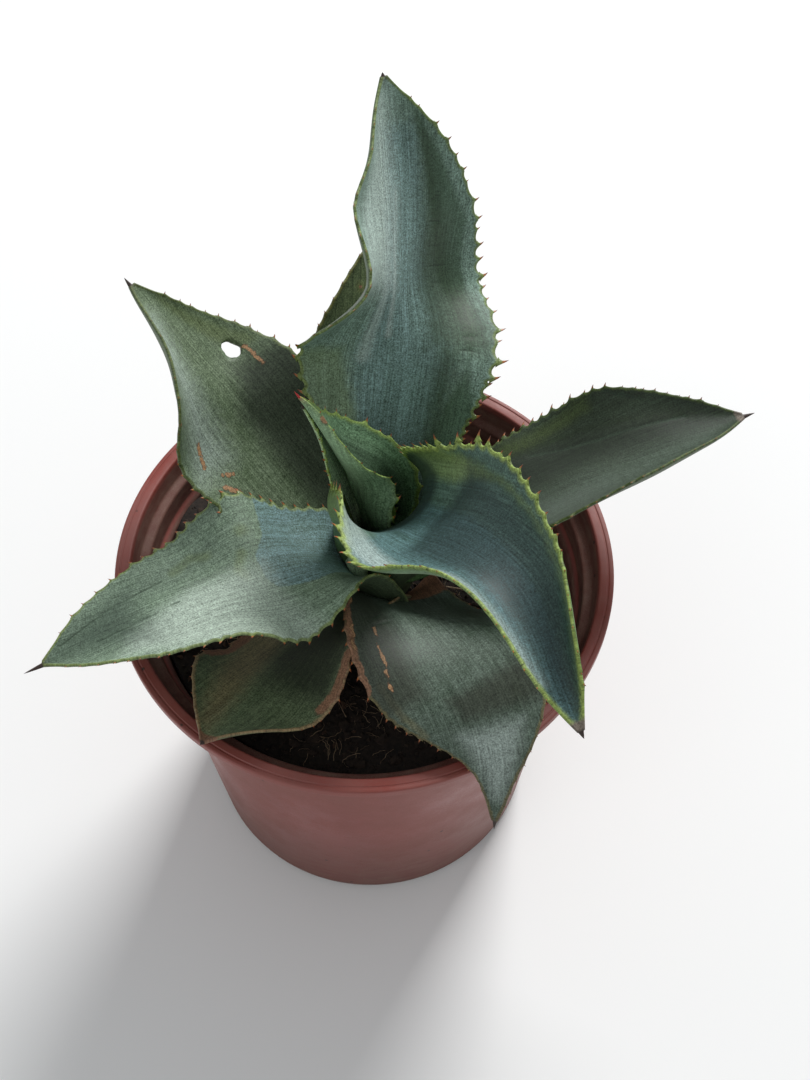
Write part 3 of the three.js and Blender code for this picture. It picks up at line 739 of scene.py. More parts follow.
LEAVES = {
    "leaf_spear": dict(
        root=(5, 7, 214), length=58, width=30, heading=172, thin=0.6, tooth=1.2, spine=4,
        climb=[88, 84, 80, 77, 76, 75, 75, 75],
        sway=[0, 0, 0, 0, 0, 0, 0, 0],
        left=[120, 120, 115, 110, 110, 110, 100, 90],
        right=[120, 120, 115, 110, 110, 110, 100, 90],
        breadth=[0.9, 0.94, 1, 0.98, 0.84, 0.6, 0.32, 0.02]),
    "leaf_bud": dict(
        root=(1, 7, 202), length=124, width=56, heading=178, thin=0.5, tooth=2, spine=5, spacing=7.8,
        climb=[107, 104, 91, 64, 70, 72, 68, 66],
        sway=[4, 1, -1, -3, 1, 2, 4, 4],
        left=[104, 86, 82, 73, 95, 60, 64, 113],
        right=[119, 114, 95, 70, 39, 3, 7, 29],
        breadth=[0.68, 0.87, 1.01, 1.01, 0.99, 0.69, 0.34, 0.02]),
    "leaf_bud_outer": dict(
        root=(-3.5, 8.3, 200), length=112, width=50, heading=176, thin=0.6, tooth=2.2, spine=3,
        right_share=0.9, spacing=4.8, lean=(-1.3, 0, 0.2),
        climb=[102, 95, 85, 75, 75, 77, 72, 69],
        sway=[3, 0, -2, -2, 0, 1, 0, 2],
        left=[68, 58, 43, 23, 10, 4, 25, 36],
        right=[100, 95, 80, 50, 10, 0, 21, 37],
        breadth=[0.8, 0.85, 0.93, 0.88, 0.64, 0.38, 0.14, 0.02]),
    "leaf_front_right": dict(
        root=(11, -1, 199), length=251, width=83, heading=294, tooth=3.2, spine=3,
        climb=[88, 78, 61, 49, 44, 13, -11, -17],
        sway=[-7, -7, -5, -2, 11, 9, -6, -1],
        left=[58, 93, 138, 125, 63, 63, 106, 38],
        right=[116, 127, 114, 100, 40, 60, 61, 20],
        breadth=[0.95, 0.95, 0.96, 0.93, 0.95, 0.6, 0.35, 0.02]),
    "leaf_back": dict(
        root=(6, 19, 210), length=208, width=95, heading=89, tooth=3.4, spine=2,
        climb=[74, 66, 54, 52, 47, 41, 48, 55],
        sway=[-4, -8, -10, -11, -2, 4, 11, 15],
        left=[160, 122, 84, 54, 101, 83, 93, 76],
        right=[61, 33, 15, 11, -19, -17, 14, 30],
        breadth=[0.77, 0.76, 0.81, 0.96, 1.06, 0.95, 0.52, 0.02]),
    "leaf_right": dict(
        root=(16, 9, 181), length=189, width=89, heading=13, tooth=2.2, spine=6, spacing=6.2,
        climb=[69, 50, 33, 24, 18, 12, 9, 9],
        sway=[-6, -5, -4, -1, 2, 2, 2, 4],
        left=[55, 35, 10, 0, 5, 35, 40, 45],
        right=[90, 80, 55, 45, 55, 70, 70, 60],
        breadth=[0.74, 0.76, 0.8, 0.92, 1, 0.84, 0.46, 0.02]),
    "leaf_left": dict(
        root=(-2, 2, 180), length=183, width=85, heading=207, tooth=2.4, spine=10,
        climb=[77, 61, 40, 19, 4, -6, -10, -10],
        sway=[3, 4, 5, 3, 1, -3, -4, -4],
        left=[65, 65, 60, 10, 30, 35, 45, 45],
        right=[70, 55, 30, 15, -10, -5, 10, 30],
        breadth=[0.74, 0.74, 0.78, 0.98, 0.96, 0.78, 0.46, 0.02]),
    "leaf_back_left": dict(
        root=(-5, 12, 176), length=177, width=84, heading=143, tooth=1.8, spine=5,
        climb=[64, 53, 44, 41, 42, 42, 40, 39],
        sway=[2, 3, 2, 0, -2, -1, -3, -4],
        left=[65, 50, 35, 25, 25, 60, 80, 75],
        right=[65, 50, 35, 30, 30, 15, 10, 20],
        breadth=[0.7, 0.72, 0.8, 0.92, 1, 0.84, 0.44, 0.02],
        hole=dict(at=0.7, across=0.6, radius=4.4)),
    "leaf_front": dict(
        root=(10, -6, 174), length=165, width=82, heading=291, tooth=1.5, spine=5,
        climb=[65, 53, 38, 21, 0, -23, -44, -55],
        sway=[0, 4, 7, 8, 8, -1, -17, -28],
        left=[50, 15, -15, -10, 5, 20, 35, 45],
        right=[65, 65, 45, 20, -5, -10, 0, 25],
        breadth=[0.68, 0.68, 0.82, 0.98, 0.96, 0.66, 0.22, 0.02]),
    "leaf_front_left": dict(
        root=(-2, -3, 177), length=127, width=78, heading=235, tooth=1.5, spine=2,
        climb=[57, 34, 12, 5, 8, 16, 21, 21],
        sway=[1, 2, 1, 1, -1, -1, 0, 1],
        left=[60, 55, 50, 50, 30, 20, 35, 60],
        right=[60, 35, 0, -20, -15, 5, 15, 30],
        breadth=[0.7, 0.7, 0.78, 0.9, 0.98, 0.86, 0.46, 0.02],
        bites=[(0.555, 1, 4.5, 5.0)]),
    "leaf_back_low": dict(
        root=(2, 16, 170), length=166, width=78, heading=91, tooth=2, spine=4,
        climb=[66, 52, 42, 35, 33, 33, 33, 34],
        sway=[-1, -3, -5, -5, -4, -1, 2, 5],
        left=[60, 50, 35, 30, 35, 50, 60, 60],
        right=[60, 50, 35, 30, 30, 35, 40, 45],
        breadth=[0.62, 0.66, 0.78, 0.94, 1, 0.82, 0.46, 0.02]),
}


# %% Shape of a blade
def along_leaf(values, t):
    # A cubic through the stations, with each slope taken from both neighbours.
    values = np.asarray(values, float)
    slopes = np.gradient(values, STATIONS)
    i = np.clip(np.searchsorted(STATIONS, t, side="right") - 1, 0, len(STATIONS) - 2)
    width = STATIONS[i + 1] - STATIONS[i]
    s = (t - STATIONS[i]) / width
    ease = 3 * s ** 2 - 2 * s ** 3
    bend = slopes[i] * (s ** 3 - 2 * s ** 2 + s) + slopes[i + 1] * (s ** 3 - s ** 2)
    return values[i] * (1 - ease) + values[i + 1] * ease + bend * width


def unit(vectors):
    return vectors / np.maximum(np.linalg.norm(vectors, axis=-1, keepdims=True), 1e-9)


def upper_face(leaf, steps, columns):
    t = np.linspace(0, 1, steps + 1)
    climb = np.radians(along_leaf(leaf["climb"], t))
    heading = np.radians(leaf["heading"] + along_leaf(leaf["sway"], t))
    lifts = {side: np.radians(along_leaf(leaf[side], t)) for side in ("left", "right")}
    half = np.maximum(along_leaf(leaf["breadth"], t), 0.02) * leaf["width"] / 2
    along = np.stack([np.cos(climb) * np.cos(heading), np.cos(climb) * np.sin(heading), np.sin(climb)], -1)
    right = np.stack([np.sin(heading), -np.cos(heading), 0 * heading], -1)
    up = np.cross(right, along)
    midrib = np.zeros((steps + 1, 3)) + leaf["root"]
    midrib[1:] += np.cumsum((along[1:] + along[:-1]) / 2 * leaf["length"] / steps, axis=0)
    bank = (lifts["right"] - lifts["left"]) / 2
    share = (np.arange(columns) + 0.5) / columns
    grid = np.zeros((steps + 1, 2 * columns + 1, 3))
    grid[:, columns] = midrib
    reaches = {"left": half, "right": half * leaf.get("right_share", 1)}
    for side, sign in (("left", -1), ("right", 1)):
        start = sign * bank
        slope = start[:, None] + (lifts[side] - start)[:, None] * share ** CURL
        out = np.cumsum(np.cos(slope), 1) / columns * reaches[side][:, None]
        rise = np.cumsum(np.sin(slope), 1) / columns * reaches[side][:, None]
        points = midrib[:, None] + sign * out[..., None] * right[:, None] + rise[..., None] * up[:, None]
        for j in range(columns):
            grid[:, columns + sign * (j + 1)] = points[:, j]
    return dict(t=t, grid=grid, along=along, right=right, up=up, half=half, reaches=reaches)


# %% [markdown]
# ## Margins and teeth
# The margin of an agave runs in shallow arcs from tooth to tooth. The arcs are part of the blade, so the
# last columns of its grid are pushed out by them. The teeth repeat, so a Geometry Nodes tree grows them: the
# blade's mesh carries one loose point for each tooth, with its size and two directions, and the tree puts a
# bent thorn there. Sizes and spaces are drawn with a seed of the leaf's own.

# %% Where the teeth stand, and the arcs between them
TOOTH_SPACING = 6.7
TOOTH_FIRST = 0.12
TOOTH_LAST = 0.955
SMALL_TEETH = 0.3
ARC_POWER = 2.2
ARC_SHARE = 1.25
ARC_SINK = 0.22
ARC_RUN_OUT = 9.0


def tooth_places(leaf, draw):
    spacing = leaf.get("spacing", TOOTH_SPACING)
    places, sizes = [], []
    at = TOOTH_FIRST * leaf["length"] + draw.uniform(0, 4)
    while at < TOOTH_LAST * leaf["length"]:
        t = at / leaf["length"]
        swell = 0.42 + 0.58 * math.sin(math.pi * min(1, (t - TOOTH_FIRST) / 0.8 + 0.12))
        small = draw.random() < SMALL_TEETH
        places.append(at)
        sizes.append(swell * (draw.uniform(0.45, 0.65) if small else draw.uniform(0.8, 1.1)))
        at += spacing * (draw.uniform(0.55, 0.85) if small else draw.uniform(0.8, 1.2))
    return np.array(places), np.array(sizes)


def margin_arcs(s, places, sizes, tooth):
    # Height of the margin above its mean line: it falls away from each tooth on both sides.
    ends = np.concatenate([[places[0] - ARC_RUN_OUT], places, [places[-1] + ARC_RUN_OUT]])
    tall = np.concatenate([[0], ARC_SHARE * tooth * sizes, [0]])
    i = np.clip(np.searchsorted(ends, s, side="right") - 1, 0, len(ends) - 2)
    u = np.clip((s - ends[i]) / (ends[i + 1] - ends[i]), 0, 1)
    height = tall[i] * (1 - u) ** (ARC_POWER + 0.8) + tall[i + 1] * u ** ARC_POWER
    return height - ARC_SINK * ARC_SHARE * tooth


# %% [markdown]
# ## Painting marks on a leaf
# Old leaves carry marks: scars of cork, dry tissue, creases, places where the bloom is rubbed off, and zones
# of blue where it is untouched. Dark patches are painted shade and painted shadow, and pale patches and
# streaks are painted light laid over paler bloom. Each mark is placed by its share of the way along the leaf
# and across it. The mesh stores soft fields with the value 0.5 at a mark's edge, and the material frays that
# edge with noise.

# %% Distances on the flattened blade
def flat_point(leaf, t, c):
    half = along_leaf(leaf["breadth"], np.array([t]))[0] * leaf["width"] / 2
    return np.array([c * max(half, 1.0), t * leaf["length"]])


def distance_to_line(flat, a, b):
    ab = b - a
    share = np.clip(((flat - a) @ ab) / max(ab @ ab, 1e-9), 0, 1)
    return np.linalg.norm(flat - a - share[..., None] * ab, axis=-1)


def distance_to_lines(flat, starts, ends):
    return np.min([distance_to_line(flat, a, b) for a, b in zip(starts, ends)], axis=0)


def stroke(leaf, flat, points, radius):
    corners = [flat_point(leaf, t, c) for t, c in points]
    return np.clip(1 - distance_to_lines(flat, corners, corners[1:] or corners) / (2 * radius), 0, 1)


def patch(leaf, flat, points, soft):
    corners = [flat_point(leaf, t, c) for t, c in points]
    ends = corners[1:] + corners[:1]
    inside = np.zeros(flat.shape[:-1], bool)
    for a, b in zip(corners, ends):
        crosses = (a[1] > flat[..., 1]) != (b[1] > flat[..., 1])
        rise = b[1] - a[1] if b[1] != a[1] else 1e-9
        inside ^= crosses & (flat[..., 0] < (b[0] - a[0]) * (flat[..., 1] - a[1]) / rise + a[0])
    nearest = distance_to_lines(flat, corners, ends)
    return np.clip(0.5 + np.where(inside, 1, -1) * nearest / (2 * soft), 0, 1)


# %% The marks: field, softness or radius in millimetres, and lists of points as (along, across)
# The dark marks are painted shade on the shaded sides and hearts of the blades, and painted shadow where one
# leaf shades another. The pale marks are painted highlights laid over paler bloom.
PATCHES = {
    "leaf_back": [
        ("dark", 8, [(0.42, 0.3), (0.62, 0.3), (0.8, 0.45), (0.93, 0.7), (0.93, 1.1), (0.42, 1.1)]),
        ("dark", 7, [(0.15, 0.5), (0.45, 0.4), (0.45, 0.7), (0.15, 0.7)]),
        ("pale", 9, [(0.55, -0.95), (0.55, -0.1), (0.97, -0.1), (0.97, -0.95)]),
        ("fresh", 5, [(0, -1.2), (0, -0.1), (0.15, -0.2), (0.3, -0.42), (0.42, -0.55), (0.42, -1.2)]),
        ("bare", 3, [(0.15, 0.55), (0.3, 0.68), (0.45, 0.8), (0.55, 0.85), (0.7, 0.9), (0.96, 0.93),
         (0.96, 1.3), (0.15, 1.3)]),
        ("blue", 12, [(0.1, -0.5), (0.1, 0.5), (0.4, 0.6), (0.9, 0.7), (0.9, -0.3), (0.45, -0.35)]),
    ],
    "leaf_left": [
        ("dark", 6, [(0, -1.2), (0, -0.5), (0.25, -0.45), (0.28, -1.2)]),
        ("dark", 16, [(0.72, -0.6), (0.72, 0.9), (1.1, 0.9), (1.1, -0.6)]),
        ("dark", 26, [(0.45, 0.4), (0.45, 0.9), (0.75, 0.9), (0.75, 0.4)]),
        ("blue", 1.5, [(0, -0.38), (0.17, -0.33), (0.3, -0.38), (0.397, -0.26), (0.416, -0.1),
         (0.411, 0.22), (0.363, 0.47), (0.351, 0.68), (0.334, 1.3), (0, 1.3)]),
        ("pale", 8, [(0.37, -1.1), (0.4, 0.1), (0.6, 0.15), (0.78, -0.3), (0.8, -0.8), (0.6, -1.1)]),
    ],
    "leaf_front_right": [
        ("dark", 7, [(0.5, -0.82), (0.45, -0.1), (0.52, 0.4), (0.65, 0.52), (0.93, 0.4), (0.97, -0.3),
         (0.95, -0.82)]),
        ("dark", 6, [(0, -1.2), (0, 0.45), (0.22, 0.4), (0.33, 0.1), (0.36, -0.7), (0.25, -1.2)]),
        ("pale", 4, [(0.33, 1.3), (0.36, 0.6), (0.6, 0.7), (0.92, 0.68), (0.92, 1.3)]),
        ("blue", 6, [(0.3, -0.35), (0.3, 0.3), (0.42, 0.5), (0.52, 1.2), (1, 1.2), (1, -0.2), (0.8, -0.25),
         (0.5, -0.3)]),
        ("fresh", 4, [(0.2, -1.3), (0.2, -0.6), (0.45, -0.62), (0.6, -0.8), (0.95, -0.84), (0.95, -1.3)]),
        ("fresh", 3, [(0.02, 1.3), (0.02, 0.72), (0.3, 0.8), (0.5, 0.9), (0.5, 1.3)]),
        ("bare", 4, [(0.3, -1.3), (0.3, -0.9), (0.55, -0.75), (0.8, -0.6), (0.93, -0.4), (1, -0.4),
         (1, -1.3)]),
        ("dry", 3, [(0.985, -2), (0.985, 2), (1.1, 2), (1.1, -2)]),
    ],
    "leaf_right": [
        ("dark", 7, [(0, -1.2), (0, 1.2), (0.34, 1.2), (0.38, -1.2)]),
        ("dark", 10, [(0.38, -0.72), (0.38, -0.1), (0.95, -0.12), (0.95, -0.8), (0.6, -0.62)]),
        ("pale", 22, [(0.42, 0.35), (0.45, 0.85), (0.92, 0.85), (0.92, 0.1), (0.7, 0.2)]),
        ("fresh", 4, [(0.3, -1.0), (0.3, -0.75), (0.5, -0.72), (0.66, -0.8), (0.66, -1.0)]),
        ("bare", 4, [(0.25, -1.3), (0.25, -0.8), (0.6, -0.6), (0.85, -0.5), (0.97, -0.6), (0.97, -1.3)]),
        ("dry", 2, [(0.983, -2), (0.983, 2), (1.1, 2), (1.1, -2)]),
    ],
    "leaf_back_left": [
        # Painted shadow: the shadow that leaf_back casts over this leaf's right half, from the root to past
        # its middle.
        ("dark", 8, [(0, 0.05), (0.56, 0.05), (0.66, 0.45), (0.64, 1.2), (0, 1.2)]),
        ("pale", 12, [(0.5, -0.9), (0.5, -0.4), (0.9, -0.3), (0.9, -0.85)]),
        ("fresh", 3, [(0.68, 0.62), (0.93, 0.6), (0.95, 0.95), (0.68, 0.95)]),
    ],
    "leaf_front": [
        ("dark", 6, [(0.1, 0.45), (0.58, 0.5), (0.6, 1.2), (0.1, 1.2)]),
        ("dark", 4.5, [(0.6, -1.1), (0.62, 0.35), (0.7, 0.3), (0.71, -1.1)]),
        ("pale", 6, [(0.74, -0.6), (0.74, 0.5), (0.93, 0.3), (0.93, -0.4)]),
        ("dry", 4, [(-0.1, -1.2), (-0.1, 1.2), (0.11, 1.2), (0.11, -1.2)]),
        ("bare", 7, [(0.15, -1.3), (0.15, -0.7), (0.6, -0.6), (0.9, -0.7), (0.9, -1.3)]),
    ],
    "leaf_front_left": [
        ("dark", 12, [(0.1, -1), (0.1, 0.5), (0.5, 0.3), (0.64, 0), (0.64, -1)]),
        ("fresh", 8, [(0.35, 0.4), (0.95, 0.2), (0.95, 1.2), (0.35, 1.2)]),
        ("dry", 3, [(0.968, -2), (0.968, 2), (1.1, 2), (1.1, -2)]),
    ],
    "leaf_bud": [
        ("dark", 5, [(0.1, -0.7), (0.1, 0.9), (0.6, 0.7), (0.85, 0.1), (0.6, -0.4)]),
        ("blue", 5, [(0.2, -0.5), (0.9, -0.35), (0.9, 0.1), (0.2, 0.2)]),
    ],
}
STROKES = {
    "leaf_back": [
        ("crease", 0.35, [(0.56, 0.45), (0.56, 0.6)], [(0.6, 0.5), (0.6, 0.66)], [(0.645, 0.45),
         (0.645, 0.62)], [(0.7, 0.45), (0.7, 0.58)], [(0.745, 0.5), (0.745, 0.6)], [(0.43, 0.66),
         (0.432, 0.84)], [(0.455, 0.7), (0.456, 0.82)]),
        ("pale", 1.4, [(0.45, -0.07), (0.6, -0.08), (0.76, -0.05)]),
        ("pale", 3, [(0.4, -0.3), (0.6, -0.22), (0.82, -0.25)]),
    ],
    "leaf_left": [
        ("crease", 0.45, [(0.64, 0), (0.75, -0.05), (0.86, -0.13)], [(0.66, 0.5), (0.8, 0.53),
         (0.95, 0.55)]),
        ("fresh", 3, [(0.414, 0.57)]),
        ("fresh", 2.2, [(0.44, 0.3), (0.47, 0.12), (0.46, 0)]),
        ("fresh", 2.6, [(0.52, 0.5), (0.56, 0.62), (0.62, 0.55)]),
    ],
    "leaf_right": [
        ("crease", 0.8, [(0.46, -0.6), (0.65, -0.38), (0.87, -0.5)], [(0.7, -0.97), (0.78, -0.85)]),
    ],
    "leaf_back_left": [
        ("scar", 0.9, [(0.58, -0.63), (0.52, -0.72)], [(0.72, -0.9)], [(0.667, -0.98)]),
        ("scar", 1.1, [(0.463, -0.57)], [(0.447, -0.72), (0.41, -0.63)]),
        ("scar", 0.6, [(0.475, -0.62), (0.455, -0.5)]),
        ("scar", 0.8, [(0.683, 0.75), (0.623, 0.68)]),
    ],
    "leaf_front": [
        ("dry", 1.5, [(0.18, 0.96), (0.24, 0.93), (0.3, 0.96), (0.4, 0.98), (0.5, 1)]),
        ("scar", 0.7, [(0.24, 0.88), (0.27, 0.91)]),
        ("scar", 0.6, [(0.34, 0.93), (0.4, 0.96)]),
        ("scar", 0.42, [(0.35, 0.65), (0.4, 0.68), (0.46, 0.7)]),
        ("scar", 0.5, [(0.47, 0.73), (0.53, 0.79)]),
        ("fresh", 1.6, [(0.5, 0.86), (0.6, 0.88), (0.7, 0.93)]),
        ("crease", 0.6, [(0.3, 0.5), (0.32, 0.62)], [(0.33, 0.42), (0.34, 0.6)]),
    ],
    "leaf_front_left": [
        ("dry", 2.4, [(0.44, -0.95), (0.57, -0.95), (0.65, -0.9)]),
        ("dry", 3.4, [(0.45, 0.95), (0.5, 0.9), (0.57, 0.88), (0.62, 0.95)]),
    ],
    "leaf_back_low": [
        ("fresh", 2.2, [(0.849, -0.45)]),
        ("dry", 0.9, [(0.849, -0.45)]),
    ],
    "leaf_bud": [
        ("scar", 0.9, [(0.905, -0.97), (0.89, -0.93)]),
    ],
}
FIELDS = ("blue", "fresh", "bare", "pale", "dark", "crease", "scar", "dry")


def paint(name, leaf, flat):
    fields = {field: np.zeros(flat.shape[:-1]) for field in FIELDS}
    for mark, marks in ((patch, PATCHES), (stroke, STROKES)):
        for field, size, *outlines in marks.get(name, []):
            for points in outlines:
                fields[field] = np.maximum(fields[field], mark(leaf, flat, points, size))
    return fields


# %% Build a leaf's mesh: upper face, round margins, underside and spine
STEP = 0.8
COLUMNS = 26
ARC_COLUMNS = COLUMNS // 3
SPINE_ROWS = 10
SPINE_GIRTH = 1.15
WAVE_HEIGHT = 0.12
CREASE_DEPTH = 0.35
SCAR_HEIGHT = 0.25
MARGIN_BULGE = 0.35
HORN_REACH = 5.0


def loop_faces(rows, wide):
    faces = []
    for row in range(rows - 1):
        for j in range(wide):
            a, b = row * wide + j, row * wide + (j + 1) % wide
            faces.append((a, b, b + wide, a + wide))
    return faces


def build_leaf(name, leaf, seed):
    thin = leaf.get("thin", 1.0)
    shape = upper_face(leaf, round(leaf["length"] / STEP), COLUMNS)
    grid, t = shape["grid"], shape["t"]
    s = t * leaf["length"]
    across = np.linspace(-1, 1, 2 * COLUMNS + 1)
    draw = np.random.default_rng(seed)

    # Arcs of the margins, and the points that teeth grow from.
    teeth = []
    for side, sign, edge in (("left", -1, 0), ("right", 1, 2 * COLUMNS)):
        places, sizes = tooth_places(leaf, draw)
        arcs = margin_arcs(s, places, sizes, leaf["tooth"])
        for at, bite_side, depth, spread in leaf.get("bites", []):
            if bite_side == sign:
                arcs = arcs - depth * np.exp(-((s - at * leaf["length"]) / spread) ** 2)
        arcs *= np.clip(shape["reaches"][side] / 8, 0, 1)
        out = unit(grid[:, edge] - grid[:, edge - sign])
        for j in range(ARC_COLUMNS):
            fade = (1 - j / ARC_COLUMNS) ** 2
            grid[:, edge - sign * j] += out * (arcs * fade)[:, None]
        tangent = unit(np.gradient(grid[:, edge], axis=0))
        teeth.append((places, sizes, edge, out, tangent))

    # Normals, and a slow unevenness that keeps the blade from looking machined.
    normal = unit(np.cross(np.gradient(grid, axis=1), np.gradient(grid, axis=0)))
    flat = np.stack(np.broadcast_arrays(across * shape["half"][:, None], s[:, None]), -1)
    fields = paint(name, leaf, flat)
    wave = sum(np.sin(flat[..., 0] * kx + flat[..., 1] * ky + phase)
               for kx, ky, phase in zip(draw.uniform(-0.25, 0.25, 5), draw.uniform(0.05, 0.16, 5),
                                        draw.uniform(0, math.tau, 5)))
    relief = WAVE_HEIGHT * wave - CREASE_DEPTH * fields["crease"] + SCAR_HEIGHT * fields["scar"]
    grid = grid + normal * relief[..., None]

    thickness = along_leaf(MIDRIB_THICKNESS, t)[:, None] * thin
    edge_thickness = MARGIN_THICKNESS * thin
    depth = edge_thickness + np.maximum(thickness - edge_thickness, 0) * (1 - np.abs(across) ** SWELL)
    under = grid - normal * depth[..., None]
    bulge = {}
    for edge, sign in ((0, -1), (2 * COLUMNS, 1)):
        outwards = unit(grid[:, edge] - grid[:, edge - sign])
        bulge[sign] = (grid[:, edge] + under[:, edge]) / 2 + outwards * edge_thickness * MARGIN_BULGE
    loops = np.concatenate([grid, bulge[1][:, None], under[:, ::-1], bulge[-1][:, None]], axis=1)
    wide = loops.shape[1]

    # The spine goes on from the last row, and shrinks to a point.
    ring_x = np.concatenate([across, [1], across[::-1], [-1]])
    ring_y = np.concatenate([np.sqrt(1 - across ** 2), [0], -np.sqrt(1 - across ** 2), [0]])
    centre = (grid[-1, COLUMNS] + under[-1, COLUMNS]) / 2
    rows = []
    for k in range(1, SPINE_ROWS + 1):
        u = k / SPINE_ROWS
        girth = max(0.02, (1 - u) ** 0.8) * SPINE_GIRTH * thin
        middle = centre + shape["along"][-1] * leaf["spine"] * u
        ring = ring_x[:, None] * shape["right"][-1] + ring_y[:, None] * shape["up"][-1]
        rows.append(middle + girth * ring)
    loops = np.concatenate([loops, rows])
    faces = loop_faces(len(loops), wide)
    faces.append(tuple(range(wide))[::-1])
    faces.append(tuple(range((len(loops) - 1) * wide, len(loops) * wide)))

    # What the material needs at each point.
    def around(values):
        blade = np.concatenate([values, values[:, -1:], values[:, ::-1], values[:, :1]], axis=1)
        return np.concatenate([blade, np.repeat(blade[-1:], SPINE_ROWS, 0)])

    rim = (1 - np.abs(across)) * shape["half"][:, None]
    coords = np.stack([around(flat[..., 0]), around(flat[..., 1]), around(rim)], -1) * MM
    horny = np.clip((s - leaf["length"] + HORN_REACH) / HORN_REACH, 0, 1) * 0.6
    horn = np.concatenate([horny, np.ones(SPINE_ROWS)])
    side_mask = np.zeros(wide)
    side_mask[2 * COLUMNS + 2: 4 * COLUMNS + 3] = 1
    values = {field: around(field_values) for field, field_values in fields.items()}
    values["underside"] = np.broadcast_to(side_mask, loops.shape[:2])
    values["horn"] = np.broadcast_to(horn[:, None], loops.shape[:2])
    return loops, faces, values, coords, teeth, normal, edge_thickness


# %% Cut the hole that something has eaten in a blade
HOLE_RAGGED = ((2, 0.1), (3, 0.06), (5, 0.035), (9, 0.02))


def cut_hole(loops, faces, coords, leaf, seed):
    # Cells that reach into the outline go. The points round the gap are drawn onto the outline, on the upper
    # face and on the underside, and a wall joins the two.
    hole = leaf["hole"]
    wide = loops.shape[1]
    last = 2 * COLUMNS
    draw = np.random.default_rng(seed)
    offset = coords[:, :last + 1, :2] / MM - flat_point(leaf, hole["at"], hole["across"])
    angle = np.arctan2(offset[..., 1], offset[..., 0])
    outline = hole["radius"] * (1 + sum(size * np.sin(waves * angle + draw.uniform(0, math.tau))
                                        for waves, size in HOLE_RAGGED))
    distance = np.linalg.norm(offset, axis=-1)
    inside = distance < outline
    gone = inside[:-1, :-1] | inside[1:, :-1] | inside[:-1, 1:] | inside[1:, 1:]
    gone[-SPINE_ROWS:] = False
    dropped, walls, ring = set(), [], set()
    for row, column in zip(*np.nonzero(gone)):
        dropped.update((row * wide + column, row * wide + 2 * last + 1 - column))
        corners = ((row, column), (row, column + 1), (row + 1, column + 1), (row + 1, column))
        beyond = ((row - 1, column), (row, column + 1), (row + 1, column), (row, column - 1))
        for a, b, cell in zip(corners, corners[1:] + corners[:1], beyond):
            if not gone[cell]:
                top = [r * wide + c for r, c in (b, a)]
                below = [r * wide + 2 * last + 2 - c for r, c in (a, b)]
                walls.append((*top, *below))
                ring.update((a, b))
    middle_row, middle_column = np.unravel_index(np.argmin(distance), distance.shape)
    for row, column in ring:
        pull = outline[row, column] / distance[row, column]
        for at, middle in ((column, middle_column), (2 * last + 2 - column, 2 * last + 2 - middle_column)):
            for field in (loops, coords):
                centre = field[middle_row, middle]
                field[row, at] = centre + (field[row, at] - centre) * pull
    return [face for number, face in enumerate(faces) if number not in dropped] + walls


# %% Tree: grow teeth on the loose points of a leaf
TOOTH_SIDES = 6
TOOTH_RINGS = 5
TOOTH_BEND = 0.42
TOOTH_WAIST = 0.42


def make_tooth_tree():
    tree, given, result = geometry_tree("grow_teeth", {
        "Sides": TOOTH_SIDES, "Rings": TOOTH_RINGS, "Bend": TOOTH_BEND, "Waist": TOOTH_WAIST,
        "Horn": "Material"})

    def named(name):
        inputs = {"Name": name}
        return add(tree, "GeometryNodeInputNamedAttribute", inputs, data_type="FLOAT_VECTOR").outputs[0]

    size = named("tooth_size")
    is_tooth = add(tree, "FunctionNodeCompare", {0: split(tree, size)[2], 1: 1e-6}, operation="GREATER_THAN")
    parted = add(tree, "GeometryNodeSeparateGeometry", {0: given["Geometry"], 1: is_tooth.outputs[0]})
    cone = add(tree, "GeometryNodeMeshCone",
               {"Vertices": given["Sides"], "Side Segments": given["Rings"], "Radius Bottom": 0.5,
                "Depth": 1.0})
    x, y, z = split(tree, add(tree, "GeometryNodeInputPosition").outputs[0])
    marked = add(tree, "GeometryNodeStoreNamedAttribute",
                 {"Geometry": cone.outputs[0], "Name": "reach", "Value": z},
                 data_type="FLOAT", domain="POINT").outputs[0]
    belly = math_node(tree, "SINE", times(tree, z, math.pi))
    slim = minus(tree, 1.0, times(tree, belly, given["Waist"]))
    lean = times(tree, math_node(tree, "POWER", z, 2.0), given["Bend"])
    bent = join(tree, plus(tree, times(tree, x, slim), lean), times(tree, y, slim), z)
    hooked = add(tree, "GeometryNodeSetPosition", {"Geometry": marked, "Position": bent}).outputs[0]
    smooth = add(tree, "GeometryNodeSetShadeSmooth", {0: hooked}).outputs[0]
    turns = add(tree, "FunctionNodeAxesToRotation", {0: named("tooth_out"), 1: named("tooth_along")},
                primary_axis="Z", secondary_axis="X").outputs[0]
    inputs = {"Points": parted.outputs[0], "Instance": smooth, "Rotation": turns, "Scale": size}
    grown = add(tree, "GeometryNodeInstanceOnPoints", inputs).outputs[0]
    joined = add(tree, "GeometryNodeJoinGeometry")
    tree.links.new(realized(tree, grown, given["Horn"]), joined.inputs[0])
    tree.links.new(parted.outputs[1], joined.inputs[0])
    tree.links.new(joined.outputs[0], result["Geometry"])
    return tree


tooth_tree = make_tooth_tree()
